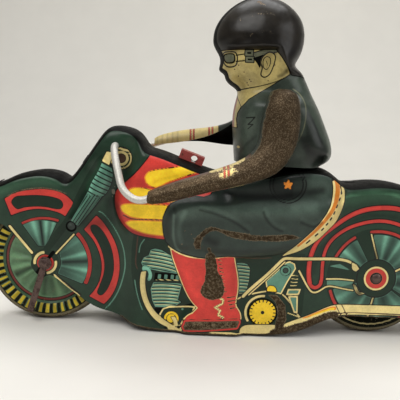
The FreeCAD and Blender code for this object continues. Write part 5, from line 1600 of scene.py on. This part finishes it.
bodyPalette = {
    "base": srgb(34, 56, 41), "line": srgb(12, 14, 11), "deep": srgb(19, 42, 27), "slate": srgb(50, 61, 54),
    "teal": srgb(90, 134, 114), "cream": srgb(228, 208, 140), "yellow": srgb(244, 204, 44),
    "orange": srgb(226, 136, 48), "red": srgb(194, 58, 50), "brown": srgb(76, 52, 38),
    "black": srgb(12, 12, 10),
}
riderPalette = dict(bodyPalette, base=srgb(57, 66, 57), slate=srgb(32, 28, 22), teal=srgb(104, 106, 84),
                    cream=srgb(185, 167, 106), red=srgb(136, 58, 42))
armPalette = dict(bodyPalette, base=srgb(48, 54, 46), cream=srgb(206, 186, 124), red=srgb(170, 76, 56))
wheelPalette = dict(bodyPalette, base=srgb(62, 90, 64), teal=srgb(104, 138, 102), red=srgb(112, 50, 42),
                    yellow=srgb(192, 168, 44), brown=srgb(104, 96, 68), cream=srgb(196, 180, 124),
                    black=srgb(26, 28, 20))
wornDark, wornLight = srgb(62, 50, 36), srgb(136, 122, 98)
tinInside = srgb(112, 108, 96)

materials = {
    "litho_body": lithoMaterial("litho_body", bodyPalette, wornDark, wornLight, tinInside),
    "litho_rider": lithoMaterial("litho_rider", riderPalette, srgb(96, 52, 40), wornLight, tinInside,
                                 mottle=0.24),
    # the arms are near black inside: painted shade in their hollows, where the other pieces show bare tin
    "litho_arm": lithoMaterial("litho_arm", armPalette, srgb(69, 56, 41), srgb(140, 124, 100),
                               srgb(20, 22, 20), 0.5, 0.48, 0.8),
    "litho_wheel": lithoMaterial("litho_wheel", wheelPalette, srgb(86, 76, 56), srgb(140, 130, 104),
                                 tinInside),
}
# slot, colour, aged colour, share that has aged, roughness, metallic
metals = [
    ("bright_wire", srgb(214, 211, 202), srgb(150, 144, 130), 0.12, 0.52, 0.55),
    ("red_tin", srgb(178, 76, 70), srgb(96, 58, 44), 0.30, 0.38, 0.0),
    ("black_tin", srgb(22, 22, 20), srgb(70, 58, 44), 0.20, 0.40, 0.0),
    ("rusty_steel", srgb(98, 80, 74), srgb(62, 42, 36), 0.45, 0.38, 0.8),
    ("motor_steel", srgb(150, 148, 140), srgb(98, 84, 66), 0.25, 0.35),
    ("spring_steel", srgb(96, 100, 110), srgb(70, 60, 50), 0.15, 0.28),
    ("gear_brass", srgb(190, 156, 84), srgb(112, 88, 50), 0.25, 0.32),
    ("key_steel", srgb(168, 164, 152), srgb(102, 84, 62), 0.25, 0.34),
    ("drive_rubber", srgb(62, 56, 48), srgb(88, 80, 66), 0.30, 0.60, 0.0),
]
for name, *look in metals:
    materials[name] = metalMaterial(name, *look)


def dress(obj, slot, body, *nodes):
    obj.data.materials.clear()
    obj.data.materials.append(materials[slot])
    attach(obj, body)
    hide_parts(*nodes)


# ---- building ----

for side, sign in (("left", -1), ("right", 1)):
    dress(bodyHalf("bodyPrint_" + side, sign), "litho_body", "body", "body_shell_" + side)
    dress(riderHalf("riderPrint_" + side, sign), "litho_rider", "body", "rider_shell_" + side)
    dress(armPiece("armPrint_" + side, side, sign), "litho_arm", "body", "arm_" + side)
    for place, hub in (("front", frontHub), ("rear", rearHub)):
        node = place + "_wheel_" + side
        dress(wheelHalf(place + "WheelPrint_" + side, hub, sign), "litho_wheel", place + "_wheel", node)
    print("pressed halves:", side)

dress(handlebarPiece(), "bright_wire", "body", "handlebar")
dress(mainspringPiece(), "spring_steel", "body", "mainspring")
print("wire and spring")

finished = {"body_shell", "rider_shell", "arm", "front_wheel", "rear_wheel"}
slots = {row["node"]: row["material_slot"] for row in frame["record"]["subparts"]}
bodies = {node: name for name, nodes in frame["record"]["behaviour"]["bodies"].items() for node in nodes}
for node, slot in slots.items():
    if node.rsplit("_", 1)[0] in finished or node in ("handlebar", "mainspring"):
        continue
    dress(smoothCopy(node, node + "Finish"), slot, bodies[node], node)
print("plain nodes dressed")


# ---- floor, light and camera ----

stageSettings = {"floor": srgb(238, 235, 228), "wall": srgb(222, 219, 211), "front": -0.42, "middle": -0.1,
                 "back": 0.45, "radius": 0.30, "width": 3.0, "height": 1.6}


# A floor that curves up into a wall: flat, a quarter circle, then straight up.
def backdrop():
    s = stageSettings
    turn = np.linspace(0, math.pi / 2, 24)[1:]
    bend = s["back"] + s["radius"] * np.sin(turn)
    y = np.concatenate([[s["front"], s["middle"], s["back"]], bend, [s["back"] + s["radius"]]])
    z = np.concatenate([[0.0, 0.0, 0.0], s["radius"] * (1 - np.cos(turn)), [s["height"]]])
    count = len(y)
    edges = [np.stack([np.full(count, x), y, z], axis=1) for x in (-s["width"] / 2, s["width"] / 2)]
    number = np.arange(count)
    faces = np.stack([number[:-1], number[:-1] + count, number[1:] + count, number[1:]], axis=1)
    sheet = makeMesh("backdrop", np.concatenate(edges) / mm, [faces], [True])
    shader = Shader("backdropPaper")
    axes = shader.add("ShaderNodeSeparateXYZ")
    shader.put(axes.inputs[0], shader.place)
    rise = shader.ramp(axes.outputs["Y"], -0.05, 0.5)
    paper = shader.mix(rise, s["floor"], s["wall"])
    # painted light: the paper brighter towards +X, for the stronger light on that side
    paper = shader.scale(paper, shader.ramp(axes.outputs["X"], -0.3, 0.35, 0.97, 1.10))
    paper = shader.scale(paper, shader.ramp(shader.noise(40.0, 2.0), 0.3, 0.7, 0.985, 1.01))
    sheet.data.materials.append(shader.finish(Base_Color=paper, Roughness=0.75))


lightTarget = (0.0, 0.0, 0.06)


def areaLight(name, place, size, power, tint=(1.0, 1.0, 1.0)):
    data = bpy.data.lights.new(name, "AREA")
    data.shape = "RECTANGLE"
    data.size, data.size_y = size
    data.energy = power
    data.color = tint
    light = bpy.data.objects.new(name, data)
    light.location = place
    direction = Vector(lightTarget) - Vector(place)
    light.rotation_euler = direction.to_track_quat("-Z", "Y").to_euler()
    bpy.context.scene.collection.objects.link(light)


def lighting():
    areaLight("windowLight", (-0.35, -0.55, 0.85), (0.9, 0.6), 6.9, (1.0, 0.99, 0.97))
    areaLight("sideLight", (0.75, -0.35, 0.45), (0.6, 0.6), 2.3)
    areaLight("topLight", (0.05, 0.25, 0.95), (0.9, 0.5), 5.2)
    world = bpy.data.worlds.new("studio")
    world.use_nodes = True
    background = world.node_tree.nodes["Background"]
    background.inputs["Color"].default_value = (0.93, 0.95, 1.0, 1.0)
    background.inputs["Strength"].default_value = 0.13
    bpy.context.scene.world = world


cameraSettings = {"place": (-0.0128, -0.250, 0.096), "pitch": 8.75, "roll": 2.5, "lens": 50.2, "sensor": 36.0}


# The camera looks along +Y, tipped down, then rolled about its own axis.
def makeCamera():
    s = cameraSettings
    data = bpy.data.cameras.new("view")
    data.lens = s["lens"]
    data.sensor_width = s["sensor"]
    data.clip_start = 0.01
    camera = bpy.data.objects.new("view", data)
    tip = Matrix.Rotation(math.radians(90 - s["pitch"]), 4, "X")
    roll = Matrix.Rotation(math.radians(s["roll"]), 4, "Z")
    camera.matrix_world = Matrix.Translation(s["place"]) @ tip @ roll
    bpy.context.scene.collection.objects.link(camera)
    bpy.context.scene.camera = camera


backdrop()
lighting()
makeCamera()
bpy.context.scene.view_settings.view_transform = "Standard"
print("stage ready")
